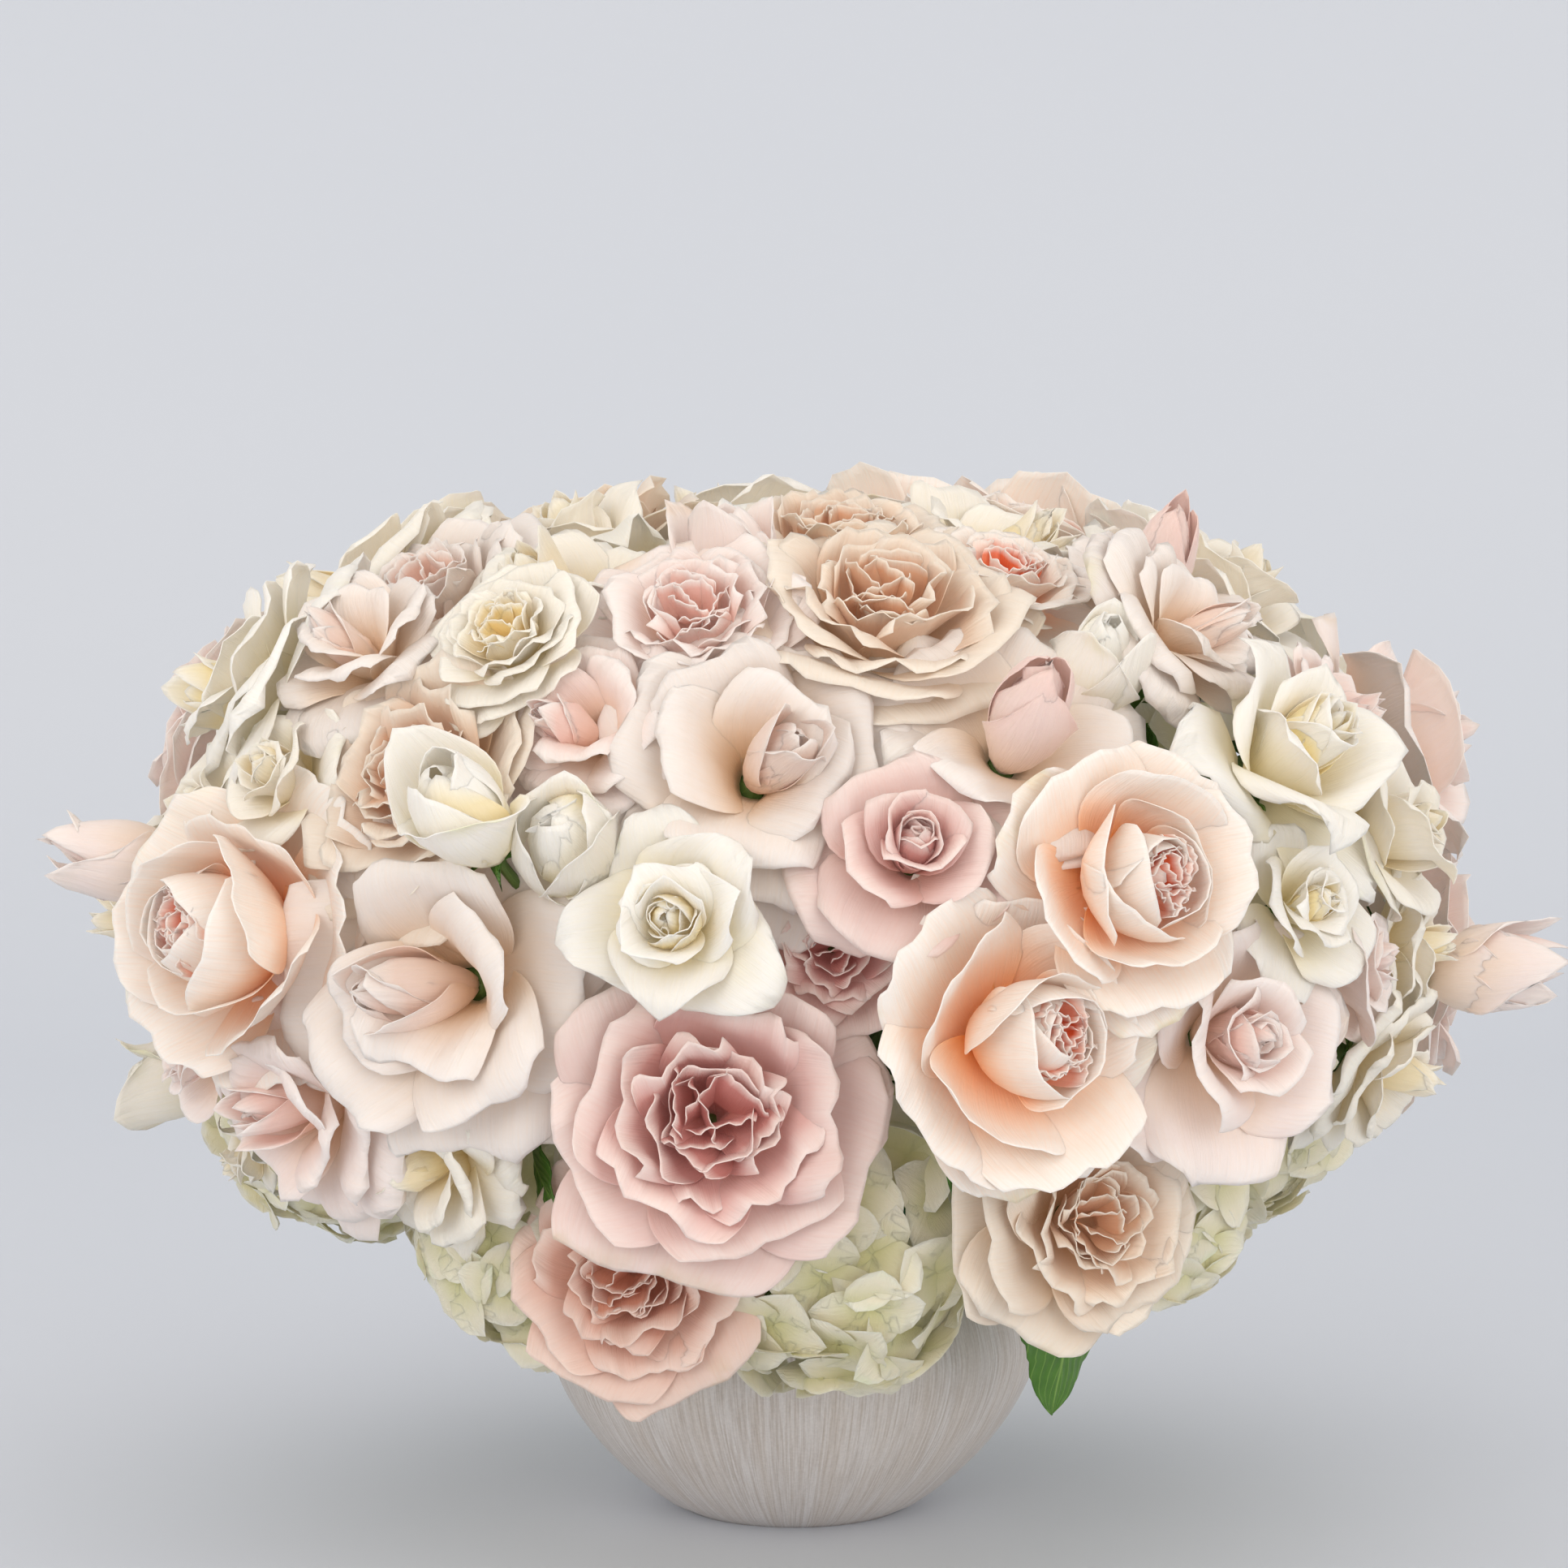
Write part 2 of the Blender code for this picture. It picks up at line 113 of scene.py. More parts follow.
# Living rose petal, thin and moist: light passes through it, the claw is yellower, the rim paler.
def petalMaterial(name, look):
    material, tree, shader = newMaterial(name, petalFinish)
    uv = addNode(tree, "ShaderNodeUVMap", {"uv_map": "UVMap"})
    split = addNode(tree, "ShaderNodeSeparateXYZ", links={0: uv})
    layer = addNode(tree, "ShaderNodeAttribute", {"attribute_name": "petalLayer"})
    tone = addNode(tree, "ShaderNodeAttribute", {"attribute_name": "petalTone"})
    place = addNode(tree, "ShaderNodeTexCoord")

    # The yellower claw and the deeper heart are partly the petal's own colour and partly painted warm shade
    # for the crevices.
    claw = addNode(tree, "ShaderNodeMapRange", {1: 0.05, 2: 0.72, 3: 1.0, 4: 0.0}, {0: split.outputs[1]})
    withClaw = addNode(tree, "ShaderNodeMix",
                       {"data_type": "RGBA", 6: toLinear(look["body"]), 7: toLinear(look["claw"])}, {0: claw})
    heart = addNode(tree, "ShaderNodeMapRange", {1: 0.0, 2: look["reach"], 3: 1.0, 4: 0.0},
                    {0: layer.outputs["Fac"]})
    withHeart = addNode(tree, "ShaderNodeMix", {"data_type": "RGBA", 7: toLinear(look["heart"])},
                        {0: heart, 6: withClaw.outputs[2]})
    # Petals bleach as they open, so the outer ones are paler.
    aged = addNode(tree, "ShaderNodeMapRange", {1: 0.55, 2: 1.0, 3: 0.0, 4: look["fade"]},
                   {0: layer.outputs["Fac"]})
    withAge = addNode(tree, "ShaderNodeMix", {"data_type": "RGBA", 7: toLinear(look["rim"])},
                      {0: aged, 6: withHeart.outputs[2]})
    cloud = addNode(tree, "ShaderNodeTexNoise", {"Scale": 70.0, "Detail": 2.0}, {0: place.outputs["Object"]})
    rimEdge = addNode(tree, "ShaderNodeMath", {"operation": "MULTIPLY_ADD", 1: 0.16, 2: -0.08}, {0: cloud})
    rimAlong = addNode(tree, "ShaderNodeMath", {"operation": "ADD"}, {0: split.outputs[1], 1: rimEdge})
    rim = addNode(tree, "ShaderNodeMapRange", {1: 0.78, 2: 1.0, 3: 0.0, 4: 0.9}, {0: rimAlong})
    withRim = addNode(tree, "ShaderNodeMix", {"data_type": "RGBA", 7: toLinear(look["rim"])},
                      {0: rim, 6: withAge.outputs[2]})
    # Outer petals that guarded the bud keep some green, and a little bruising, on their rims.
    guard = addNode(tree, "ShaderNodeMapRange", {1: 0.82, 2: 1.0, 3: 0.0, 4: 1.0}, {0: layer.outputs["Fac"]})
    patch = addNode(tree, "ShaderNodeTexNoise", {"Scale": 38.0, "Detail": 3.0}, {0: place.outputs["Object"]})
    spot = addNode(tree, "ShaderNodeMapRange", {1: 0.54, 2: 0.66, 3: 0.0, 4: 0.75}, {0: patch})
    edge = addNode(tree, "ShaderNodeMapRange", {1: 0.80, 2: 1.02, 3: 0.0, 4: 1.0}, {0: rimAlong})
    guardSpot = addNode(tree, "ShaderNodeMath", {"operation": "MULTIPLY"}, {0: guard, 1: spot})
    stain = addNode(tree, "ShaderNodeMath", {"operation": "MULTIPLY"}, {0: guardSpot, 1: edge})
    stained = addNode(tree, "ShaderNodeMix", {"data_type": "RGBA", 7: toLinear(look["stain"])},
                      {0: stain, 6: withRim.outputs[2]})
    shade = addNode(tree, "ShaderNodeMapRange", {1: 0.0, 2: 1.0, 3: 0.85, 4: 0.94}, {0: tone.outputs["Fac"]})
    toned = addNode(tree, "ShaderNodeHueSaturation", {"Saturation": 1.04},
                    {"Color": stained.outputs[2], "Value": shade})

    # Fine veins fan out along the petal, about a millimetre apart, over a soft crinkle.
    stretch = addNode(tree, "ShaderNodeMapping", {"Scale": (42.0, 2.2, 1.0)}, {0: uv})
    veins = addNode(tree, "ShaderNodeTexNoise", {"Scale": 1.6, "Detail": 3.0}, {0: stretch})
    lined = addNode(tree, "ShaderNodeMapRange", {1: 0.46, 2: 0.64, 3: 0.0, 4: 0.07}, {0: veins})
    veined = addNode(tree, "ShaderNodeMix", {"data_type": "RGBA", 7: toLinear(look["claw"])},
                     {0: lined, 6: toned})
    tree.links.new(veined.outputs[2], shader.inputs["Base Color"])
    # Painted light: the petal glows faintly in its own colour, standing in for light scattered between the
    # petals, so the shade deep in the flower is lifted.
    tree.links.new(veined.outputs[2], shader.inputs["Emission Color"])
    crinkle = addNode(tree, "ShaderNodeTexNoise", {"Scale": 260.0, "Detail": 3.0},
                      {0: place.outputs["Object"]})
    # Broad pleats, six or so across, deepen towards the rim.
    fanned = addNode(tree, "ShaderNodeMapping", {"Scale": (7.0, 1.2, 1.0)}, {0: uv})
    pleats = addNode(tree, "ShaderNodeTexNoise", {"Scale": 1.3, "Detail": 1.0}, {0: fanned})
    deeper = addNode(tree, "ShaderNodeMapRange", {1: 0.3, 2: 1.0, 3: 0.4, 4: 3.6}, {0: split.outputs[1]})
    pleated = addNode(tree, "ShaderNodeMath", {"operation": "MULTIPLY"}, {0: pleats, 1: deeper})
    fine = addNode(tree, "ShaderNodeMath", {"operation": "MULTIPLY_ADD", 1: 0.6}, {0: crinkle, 2: veins})
    height = addNode(tree, "ShaderNodeMath", {"operation": "ADD"}, {0: fine, 1: pleated})
    bump = addNode(tree, "ShaderNodeBump", {"Strength": 0.4, "Distance": 0.7 * mm}, {"Height": height})
    tree.links.new(bump.outputs[0], shader.inputs["Normal"])
    return material


# Rose leaf and stem skin: waxy and darker between the veins, which follow the leaf's own length and width.
def greenMaterial(name, body, deep, vein, roughness):
    material, tree, shader = newMaterial(name, {"Roughness": roughness, "IOR": 1.45,
                                                "Subsurface Weight": 0.12, "Subsurface Scale": 1.0 * mm,
                                                "Subsurface Radius": (0.5, 1.0, 0.2)})
    uv = addNode(tree, "ShaderNodeUVMap", {"uv_map": "UVMap"})
    split = addNode(tree, "ShaderNodeSeparateXYZ", links={0: uv})
    place = addNode(tree, "ShaderNodeTexCoord")
    mottle = addNode(tree, "ShaderNodeTexNoise", {"Scale": 160.0, "Detail": 4.0},
                     {0: place.outputs["Object"]})
    mixed = addNode(tree, "ShaderNodeMix", {"data_type": "RGBA", 6: toLinear(deep), 7: toLinear(body)},
                    {0: mottle})
    across = addNode(tree, "ShaderNodeMath", {"operation": "SUBTRACT", 1: 0.5}, {0: split})
    away = addNode(tree, "ShaderNodeMath", {"operation": "ABSOLUTE"}, {0: across})
    # Side veins leave the midrib at a slant, seven or so to a side.
    slant = addNode(tree, "ShaderNodeMath", {"operation": "MULTIPLY_ADD", 1: -0.9},
                    {0: away, 2: split.outputs[1]})
    waves = addNode(tree, "ShaderNodeMath", {"operation": "MULTIPLY", 1: 50.0}, {0: slant})
    wave = addNode(tree, "ShaderNodeMath", {"operation": "SINE"}, {0: waves})
    side = addNode(tree, "ShaderNodeMapRange", {1: 0.86, 2: 1.0, 3: 0.0, 4: 0.5}, {0: wave})
    midrib = addNode(tree, "ShaderNodeMapRange", {1: 0.0, 2: 0.035, 3: 1.0, 4: 0.0}, {0: away})
    veins = addNode(tree, "ShaderNodeMath", {"operation": "MAXIMUM"}, {0: side, 1: midrib})
    coloured = addNode(tree, "ShaderNodeMix", {"data_type": "RGBA", 7: toLinear(vein)},
                       {0: veins, 6: mixed.outputs[2]})
    tree.links.new(coloured.outputs[2], shader.inputs["Base Color"])
    bump = addNode(tree, "ShaderNodeBump", {"Strength": 0.35, "Distance": 0.4 * mm}, {"Height": wave})
    tree.links.new(bump.outputs[0], shader.inputs["Normal"])
    return material


mergeStep = 0.02 * mm


# The merged points and triangles of a solid, in metres.
def solidMesh(node):
    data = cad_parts[node].data
    points = np.empty(len(data.vertices) * 3)
    data.vertices.foreach_get("co", points)
    points = points.reshape(-1, 3)
    data.calc_loop_triangles()
    faces = np.empty(len(data.loop_triangles) * 3, int)
    data.loop_triangles.foreach_get("vertices", faces)
    grid = np.round(points / mergeStep)
    _, first, index = np.unique(grid, axis=0, return_index=True, return_inverse=True)
    faces = index.reshape(-1)[faces].reshape(-1, 3)
    whole = (faces[:, 0] != faces[:, 1]) & (faces[:, 1] != faces[:, 2]) & (faces[:, 2] != faces[:, 0])
    return points[first], faces[whole]


# A round end has 8 or 12 corners, so it is cut into 6 or 10 triangles that all face one way.
endTriangles = (6, 10)
sameWay = 0.99999
roundWithin = 0.5 * mm


# The flat round ends of a solid, largest first: centre, outward way and radius.
def flatEnds(node):
    points, faces = solidMesh(node)
    cross = np.cross(points[faces[:, 1]] - points[faces[:, 0]], points[faces[:, 2]] - points[faces[:, 0]])
    ways = cross / np.maximum(np.linalg.norm(cross, axis=1), 1e-15)[:, None]
    group = list(range(len(faces)))

    def root(i):
        while group[i] != i:
            i = group[i]
        return i

    edges = {}
    for number, face in enumerate(faces.tolist()):
        for a, b in zip(face, face[1:] + face[:1]):
            other = edges.setdefault((min(a, b), max(a, b)), number)
            if other != number and ways[other] @ ways[number] > sameWay:
                group[root(number)] = root(other)
    gathered = {}
    for number in range(len(faces)):
        gathered.setdefault(root(number), []).append(number)
    ends = []
    for members in gathered.values():
        corners = np.unique(faces[members])
        if len(members) not in endTriangles or len(corners) != len(members) + 2:
            continue
        centre = points[corners].mean(axis=0)
        spokes = np.linalg.norm(points[corners] - centre, axis=1)
        if np.ptp(spokes) < roundWithin:
            ends.append((centre, ways[members[0]], spokes.mean()))
    return sorted(ends, key=lambda end: -end[2])


# A stem's run between two points, leaving and arriving along the ways given.
def curvePath(start, startWay, end, endWay, steps):
    reach = np.linalg.norm(end - start)
    t = np.linspace(0, 1, steps + 1)[:, None]
    return (start * (1 - t) ** 3 + (start + startWay * reach * stems["leave"]) * 3 * (1 - t) ** 2 * t
            + (end - endWay * reach * stems["arrive"]) * 3 * (1 - t) * t ** 2 + end * t ** 3)


def unit(vector):
    return vector / np.linalg.norm(vector)


# A flat blank, one unit square each way, that every petal is bent from: u runs across and v from claw to tip.
def petalBlank(name, across, along):
    bpy.ops.object.select_all(action="DESELECT")
    bpy.ops.mesh.primitive_grid_add(x_subdivisions=across, y_subdivisions=along, size=2, calc_uvs=True)
    blank = bpy.context.object
    blank.name = name
    data = blank.data
    points = np.empty(len(data.vertices) * 3)
    data.vertices.foreach_get("co", points)
    points = points.reshape(-1, 3)
    corners = np.array([list(face.vertices) for face in data.polygons])
    bpy.data.objects.remove(blank)
    order = np.lexsort((points[:, 0], points[:, 1]))
    place = np.empty(len(order), int)
    place[order] = np.arange(len(order))
    # Rows and columns crowd towards the rim, where a petal curls most.
    u = np.sin(points[order, 0] * np.pi / 2)
    v = 1 - (0.5 - points[order, 1] / 2) ** 1.35
    shape = (along + 1, across + 1)
    return {"u": u.reshape(shape), "v": v.reshape(shape), "faces": place[corners]}


# Adds up a quantity from the middle column outwards.
def fromMiddle(values, u):
    middle = values.shape[1] // 2
    halves = (values[:, 1:] + values[:, :-1]) / 2 * np.diff(u, axis=1)
    total = np.zeros_like(values)
    total[:, 1:] = np.cumsum(halves, axis=1)
    return total - total[:, middle:middle + 1]


petalDefaults = {
    "lip": 0, "start": 0.05, "wrap": 0, "roll": 0, "point": 0, "shoulder": 0.15, "ruffle": 0, "waves": 1,
    "notch": 0, "nicks": 0, "crumple": 0, "uneven": 0, "around": 0, "phase": 0, "sway": 0,
}


# A petal's spine is added up in fine steps, and runs on past 1 for petals with a drawn-out tip.
fine = np.linspace(0, 1.15, 47)


# Bends the blank into one petal on a flower that stands at the origin and faces +Z.
def bendPetal(blank, shape, rng):
    p = petalDefaults | shape
    u, v = blank["u"], blank["v"]
    # The spine's angle runs through the base, mid and tip angles, and the lip adds its curl near the end.
    angle = (p["base"] * (1 - fine) * (1 - 2 * fine) + p["mid"] * 4 * fine * (1 - fine)
             + p["tip"] * fine * (2 * fine - 1))
    angle = np.radians(angle + p["lip"] * np.clip((fine - 0.74) / 0.26, 0, 1) ** 2)
    step = p["length"] * (fine[1] - fine[0])
    out = p["start"] + np.concatenate([[0], np.cumsum((np.sin(angle[1:]) + np.sin(angle[:-1])) / 2 * step)])
    up = p["floor"] + np.concatenate([[0], np.cumsum((np.cos(angle[1:]) + np.cos(angle[:-1])) / 2 * step)])

    # Outline: a narrow claw, widest at two thirds, a round or pointed top that is lower at its shoulders.
    rise = np.sin(np.clip(v / p["widest"], 0, 1) * np.pi / 2) ** 0.85
    fall = np.clip((v - p["widest"]) / (1 - p["widest"]), 0, 1)
    half = p["half"] * (p["claw"] + (1 - p["claw"]) * rise) * (1 - p["taper"] * fall ** 2)
    top = 1 - p["shoulder"] * np.abs(u) ** 2.4 + p["point"] * np.exp(-(np.abs(u) / 0.22) ** 1.4)
    top = top - p["notch"] * np.exp(-(u / 0.2) ** 2)
    nicks = np.convolve(rng.normal(0, 1, u.shape[1] + 2), (0.25, 0.5, 0.25), "valid")
    top = top + p["nicks"] * nicks[None, :]
    wave = (np.sin(u * p["waves"] * np.pi + p["phase"])
            + 0.5 * np.sin(u * p["waves"] * 2.3 * np.pi + p["phase"] * 2))
    along = v * (top + 0.35 * p["ruffle"] * wave * v ** 2)

    outHere = np.interp(along, fine, out)
    upHere = np.interp(along, fine, up)
    angleHere = np.interp(along, fine, angle)

    # Cross-section: wrapped round the flower in the middle, rolled back near the edges towards the tip.
    wrapRadius = np.maximum(np.interp(v, fine, np.maximum(out, 0.04)), 0.04)
    bend = p["wrap"] / wrapRadius * (0.35 + 0.65 * np.cos(np.clip(angleHere, -1.2, 1.4)))
    uneven = 1 + 0.5 * np.sin(u * 2.2 + v * 3 + p["phase"])
    rolled = np.clip((np.abs(u) - 0.55) / 0.3, 0, 1) * np.clip((v - 0.3) / 0.45, 0, 1)
    turn = np.clip(fromMiddle((bend * (1 - rolled) - p["roll"] * uneven * rolled) * half, u), -2.9, 2.9)
    sideways = fromMiddle(np.cos(turn) * half, u)
    inward = fromMiddle(np.sin(turn) * half, u)

    # Waves of the thin rim, and a slow unevenness of the whole petal.
    edge = np.clip((v - 0.3) / 0.7, 0, 1) ** 1.6 * (0.25 + 0.75 * np.abs(u) ** 1.5)
    inward = inward + p["ruffle"] * edge * np.sin(u * p["waves"] * np.pi * 1.3 + p["phase"] + v * 2.5)
    inward = inward + p["uneven"] * v * np.sin(v * 4.2 + p["phase"] * 1.7) * np.cos(u * 2.6 + p["phase"])
    crumple = np.sin(u * 5.1 + v * 3.3 + p["phase"] * 3) + 0.6 * np.sin(u * 9.7 - v * 6.1 + p["phase"] * 5)
    inward = inward + p["crumple"] * v * crumple
    sideways = sideways + p["sway"] * v ** 2

    radial = outHere - inward * np.cos(angleHere)
    height = upHere + inward * np.sin(angleHere)
    c, s = math.cos(p["around"]), math.sin(p["around"])
    return np.stack([radial * c - sideways * s, radial * s + sideways * c, height], axis=-1).reshape(-1, 3)


heelLayers = {"free": 0.75, "whole": 0.45}


# Tips a flower's heart over from its floor: the inner layers wholly, the ones outside them less and less.
def heelOver(petals, floor, toward, degrees):
    tipped = []
    for points, layer in petals:
        share = (heelLayers["free"] - layer) / (heelLayers["free"] - heelLayers["whole"])
        angle = math.radians(degrees) * np.clip(share, 0, 1)
        along = points[:, :2] @ toward
        rise = points[:, 2] - floor
        shift = along * math.cos(angle) + rise * math.sin(angle) - along
        points = points + np.outer(shift, (*toward, 0))
        points[:, 2] = floor + rise * math.cos(angle) - along * math.sin(angle)
        tipped.append((points, layer))
    return tipped


# What each kind of rose looks like, for a flower of radius 1. Lists run from the heart to the outermost
# petal. Angles are degrees from the flower's axis at the claw, the middle and the tip of a petal.
roseKinds = {
    "spiral": {
        "petals": 14, "floor": -0.95, "layers": (0.2, 1.0), "sag": 0.5, "nicks": 0.006, "crumple": 0.012,
        "base": [12, 18, 26, 46, 68], "mid": [0, 4, 14, 40, 74], "tip": [-24, -8, 22, 64, 92],
        "lip": [0, 10, 50, 80, 80], "length": [0.84, 0.90, 0.98, 1.10, 1.18],
        "half": [0.22, 0.34, 0.48, 0.62, 0.70], "start": [0.02, 0.04, 0.07, 0.09, 0.10],
        "wrap": [1.0, 1.0, 0.9, 0.5, 0.15], "roll": [0, 1, 6, 12, 14],
        "point": [0, 0.03, 0.08, 0.16, 0.18], "shoulder": [0.05, 0.08, 0.20, 0.40, 0.46],
        "ruffle": [0.0, 0.01, 0.015, 0.025, 0.035], "waves": [1.0, 1.2, 1.3, 1.4, 1.5],
        "notch": [0, 0, 0, 0, 0], "widest": 0.62, "claw": 0.34, "taper": 0.26, "uneven": 0.02,
        "bud": {"radius": 0.27, "height": 0.10, "blank": "plain"},
    },
    "garden": {
        "petals": 21, "floor": -0.92, "layers": (0.1, 1.0), "sag": 0.4, "nicks": 0.006, "crumple": 0.014,
        "base": [30, 36, 46, 62, 74], "mid": [18, 24, 34, 52, 72], "tip": [8, 20, 38, 58, 80],
        "lip": [0, 40, 60, 50, 70], "length": [0.80, 0.88, 0.96, 1.06, 1.14],
        "half": [0.26, 0.40, 0.54, 0.70, 0.80], "start": [0.03, 0.07, 0.10, 0.10, 0.10],
        "wrap": [0.8, 0.6, 0.6, 0.6, 0.3], "roll": [0, 1, 2, 2, 3],
        "point": [0, 0, 0, 0, 0], "shoulder": [0.08, 0.10, 0.12, 0.12, 0.14],
        "ruffle": [0.05, 0.09, 0.09, 0.035, 0.03], "waves": [1.2, 1.6, 1.8, 1.9, 2.2],
        "notch": [0.04, 0.05, 0.03, 0.03, 0.02],
        "widest": 0.70, "claw": 0.36, "taper": 0.12, "uneven": 0.03,
        "folds": {"number": 8, "reach": 0.14, "floor": -0.48, "top": -0.10, "fold": 3.0, "half": 0.24,
                  "lean": 46},
    },
    "cupped": {
        "petals": 18, "floor": -0.92, "layers": (0.25, 1.0), "sag": 0.2, "nicks": 0.010, "crumple": 0.012,
        "base": [46, 56, 66, 78, 86], "mid": [-2, 8, 26, 48, 66], "tip": [-42, -24, 4, 34, 66],
        "lip": [-10, 0, 20, 40, 60], "length": [1.00, 1.04, 1.08, 1.12, 1.16],
        "half": [0.56, 0.60, 0.62, 0.68, 0.74], "start": [0.14, 0.12, 0.10, 0.10, 0.10],
        "wrap": [1.0, 0.9, 0.7, 0.5, 0.3], "roll": [0, 0, 1, 2, 2],
        "point": [0, 0, 0, 0, 0], "shoulder": [0.12, 0.14, 0.16, 0.18, 0.18],
        "ruffle": [0.01, 0.015, 0.025, 0.035, 0.045], "waves": [1.2, 1.4, 2.0, 2.6, 3.0],
        "notch": [0.02, 0.02, 0.03, 0.03, 0.04],
        "widest": 0.66, "claw": 0.34, "taper": 0.12, "uneven": 0.02,
        "folds": {"number": 16, "reach": 0.17, "floor": -0.62, "top": 0.0, "fold": 8.0, "half": 0.16,
                  "lean": 14},
        "heel": 18,
    },
    "reflexed": {
        "petals": 13, "floor": -0.90, "layers": (0.5, 1.0), "sag": 1.0, "nicks": 0.008, "crumple": 0.022,
        "base": [18, 32, 50, 64], "mid": [20, 44, 70, 86], "tip": [50, 78, 100, 110],
        "lip": [80, 120, 140, 130], "length": [0.94, 1.06, 1.18, 1.28], "half": [0.44, 0.58, 0.70, 0.78],
        "start": [0.10, 0.11, 0.12, 0.12], "wrap": [0.6, 0.35, 0.15, 0], "roll": [4, 6, 6, 5],
        "point": [0, 0, 0, 0], "shoulder": [0.16, 0.18, 0.20, 0.20],
        "ruffle": [0.02, 0.03, 0.045, 0.05], "waves": [1.4, 1.7, 2.0, 2.2], "notch": [0.0, 0.02, 0.03, 0.03],
        "widest": 0.68, "claw": 0.44, "taper": 0.08, "uneven": 0.04,
        "bud": {"radius": 0.25, "height": 0.22, "heel": 20},
    },
    "bud": {
        "petals": 9, "floor": -2.35, "layers": (0.3, 1.0), "sag": 0, "nicks": 0.01, "crumple": 0.02,
        "base": [38, 44, 50, 56], "mid": [4, 5, 6, 8], "tip": [-76, -58, -34, -10],
        "lip": [0, 0, 10, 50], "length": [2.5, 2.55, 2.55, 2.45], "half": [0.95, 1.15, 1.3, 1.35],
        "start": [0.10, 0.14, 0.18, 0.22], "wrap": [1.0, 1.0, 0.98, 0.95], "roll": [0, 0, 0.2, 1.2],
        "point": [0.02, 0.02, 0.04, 0.06], "shoulder": [0.10, 0.12, 0.14, 0.16],
        "ruffle": [0.0, 0.0, 0.01, 0.03], "waves": [1.0, 1.0, 1.2, 1.4], "notch": [0, 0, 0, 0],
        "widest": 0.5, "claw": 0.30, "taper": 0.45, "uneven": 0.02,
    },
}
# The same rose further open: its petals are rounder, less rolled and softly waved.
roseKinds["rounded"] = roseKinds["spiral"] | {
    "roll": [0, 1, 3, 5, 6], "point": [0, 0, 0.02, 0.03, 0.02], "shoulder": [0.05, 0.08, 0.14, 0.22, 0.24],
    "half": [0.24, 0.38, 0.54, 0.70, 0.80], "ruffle": [0.01, 0.02, 0.035, 0.05, 0.055],
    "lip": [0, 20, 50, 70, 60], "taper": 0.14,
}
# A rose whose outer petals have fallen back while its heart is still a closed bud.
roseKinds["budded"] = roseKinds["reflexed"] | {
    "petals": 12, "layers": (0.8, 1.0), "base": [34, 46, 58, 68], "mid": [56, 68, 80, 92],
    "bud": {"radius": 0.34, "height": 0.42, "look": "pinkBud", "lip": [0, 0, 0, 0],
            "tip": [-76, -64, -54, -46], "point": [0.04, 0.06, 0.08, 0.08]},
}
# A slender bud whose outermost petal tips curl out to points.
roseKinds["slender"] = roseKinds["bud"] | {
    "half": [0.8, 1.0, 1.15, 1.25], "mid": [0, 0, 2, 4], "tip": [-26, -24, -22, -14], "lip": [0, 0, 0, 40],
    "point": [0.06, 0.10, 0.12, 0.12], "shoulder": [0.3, 0.32, 0.34, 0.34], "length": [2.7, 2.8, 2.8, 2.6],
}
steppedShape = ("base", "mid", "tip", "lip", "length", "half", "start", "wrap", "roll", "point", "shoulder",
                "ruffle", "waves", "notch")
sharedShape = ("floor", "widest", "claw", "taper", "uneven", "nicks", "crumple")
goldenTurn = math.radians(137.5)
# How much petals of one flower differ: radians, degrees, and shares of their length and width.
petalSpread = {"turn": 0.2, "angle": 4, "outerAngle": 3, "length": 0.05, "half": 0.08, "sway": 0.04}
# Petals on the lower side of a tilted flower hang: extra degrees at the middle and the tip, and extra length.
petalSag = {"from": 0.45, "mid": 14, "tip": 42, "length": 0.12}


# The bent petals of one flower, as points for each, with the petal's layer (0 heart, 1 outermost).
def rosePetals(kind, blank, rng, downhill=(0.0, 0.0)):
    number = kind["petals"]
    low, high = kind["layers"]
    turn = rng.uniform(0, 2 * math.pi)
    petals = []
    for i in range(number):
        t = i / (number - 1)
        p = {key: float(np.interp(t * (len(kind[key]) - 1), range(len(kind[key])), kind[key]))
             for key in steppedShape}
        p.update({key: kind[key] for key in sharedShape})
        p["around"] = turn + goldenTurn * i + rng.normal(0, petalSpread["turn"])
        fall = downhill[0] * math.cos(p["around"]) + downhill[1] * math.sin(p["around"])
        sag = max(0.0, t - petalSag["from"]) * fall * kind["sag"]
        for key, share in (("base", 0), ("mid", petalSag["mid"]), ("tip", petalSag["tip"])):
            p[key] += sag * share + rng.normal(0, petalSpread["angle"] + petalSpread["outerAngle"] * t)
        p["length"] *= 1 + rng.normal(0, petalSpread["length"]) + petalSag["length"] * sag
        p["half"] *= 1 + rng.normal(0, petalSpread["half"])
        p["phase"] = rng.uniform(0, 2 * math.pi)
        p["sway"] = rng.normal(0, petalSpread["sway"])
        petals.append((bendPetal(blank, p, rng), low + (high - low) * t))
    if "folds" in kind:
        petals = foldedHeart(kind["folds"], blank, rng) + petals
    return petals


foldShape = {
    "start": 0.02, "shoulder": 0.12, "ruffle": 0.03, "waves": 2.6, "notch": 0.05, "widest": 0.75, "claw": 0.6,
    "taper": 0.1, "uneven": 0.02,
}


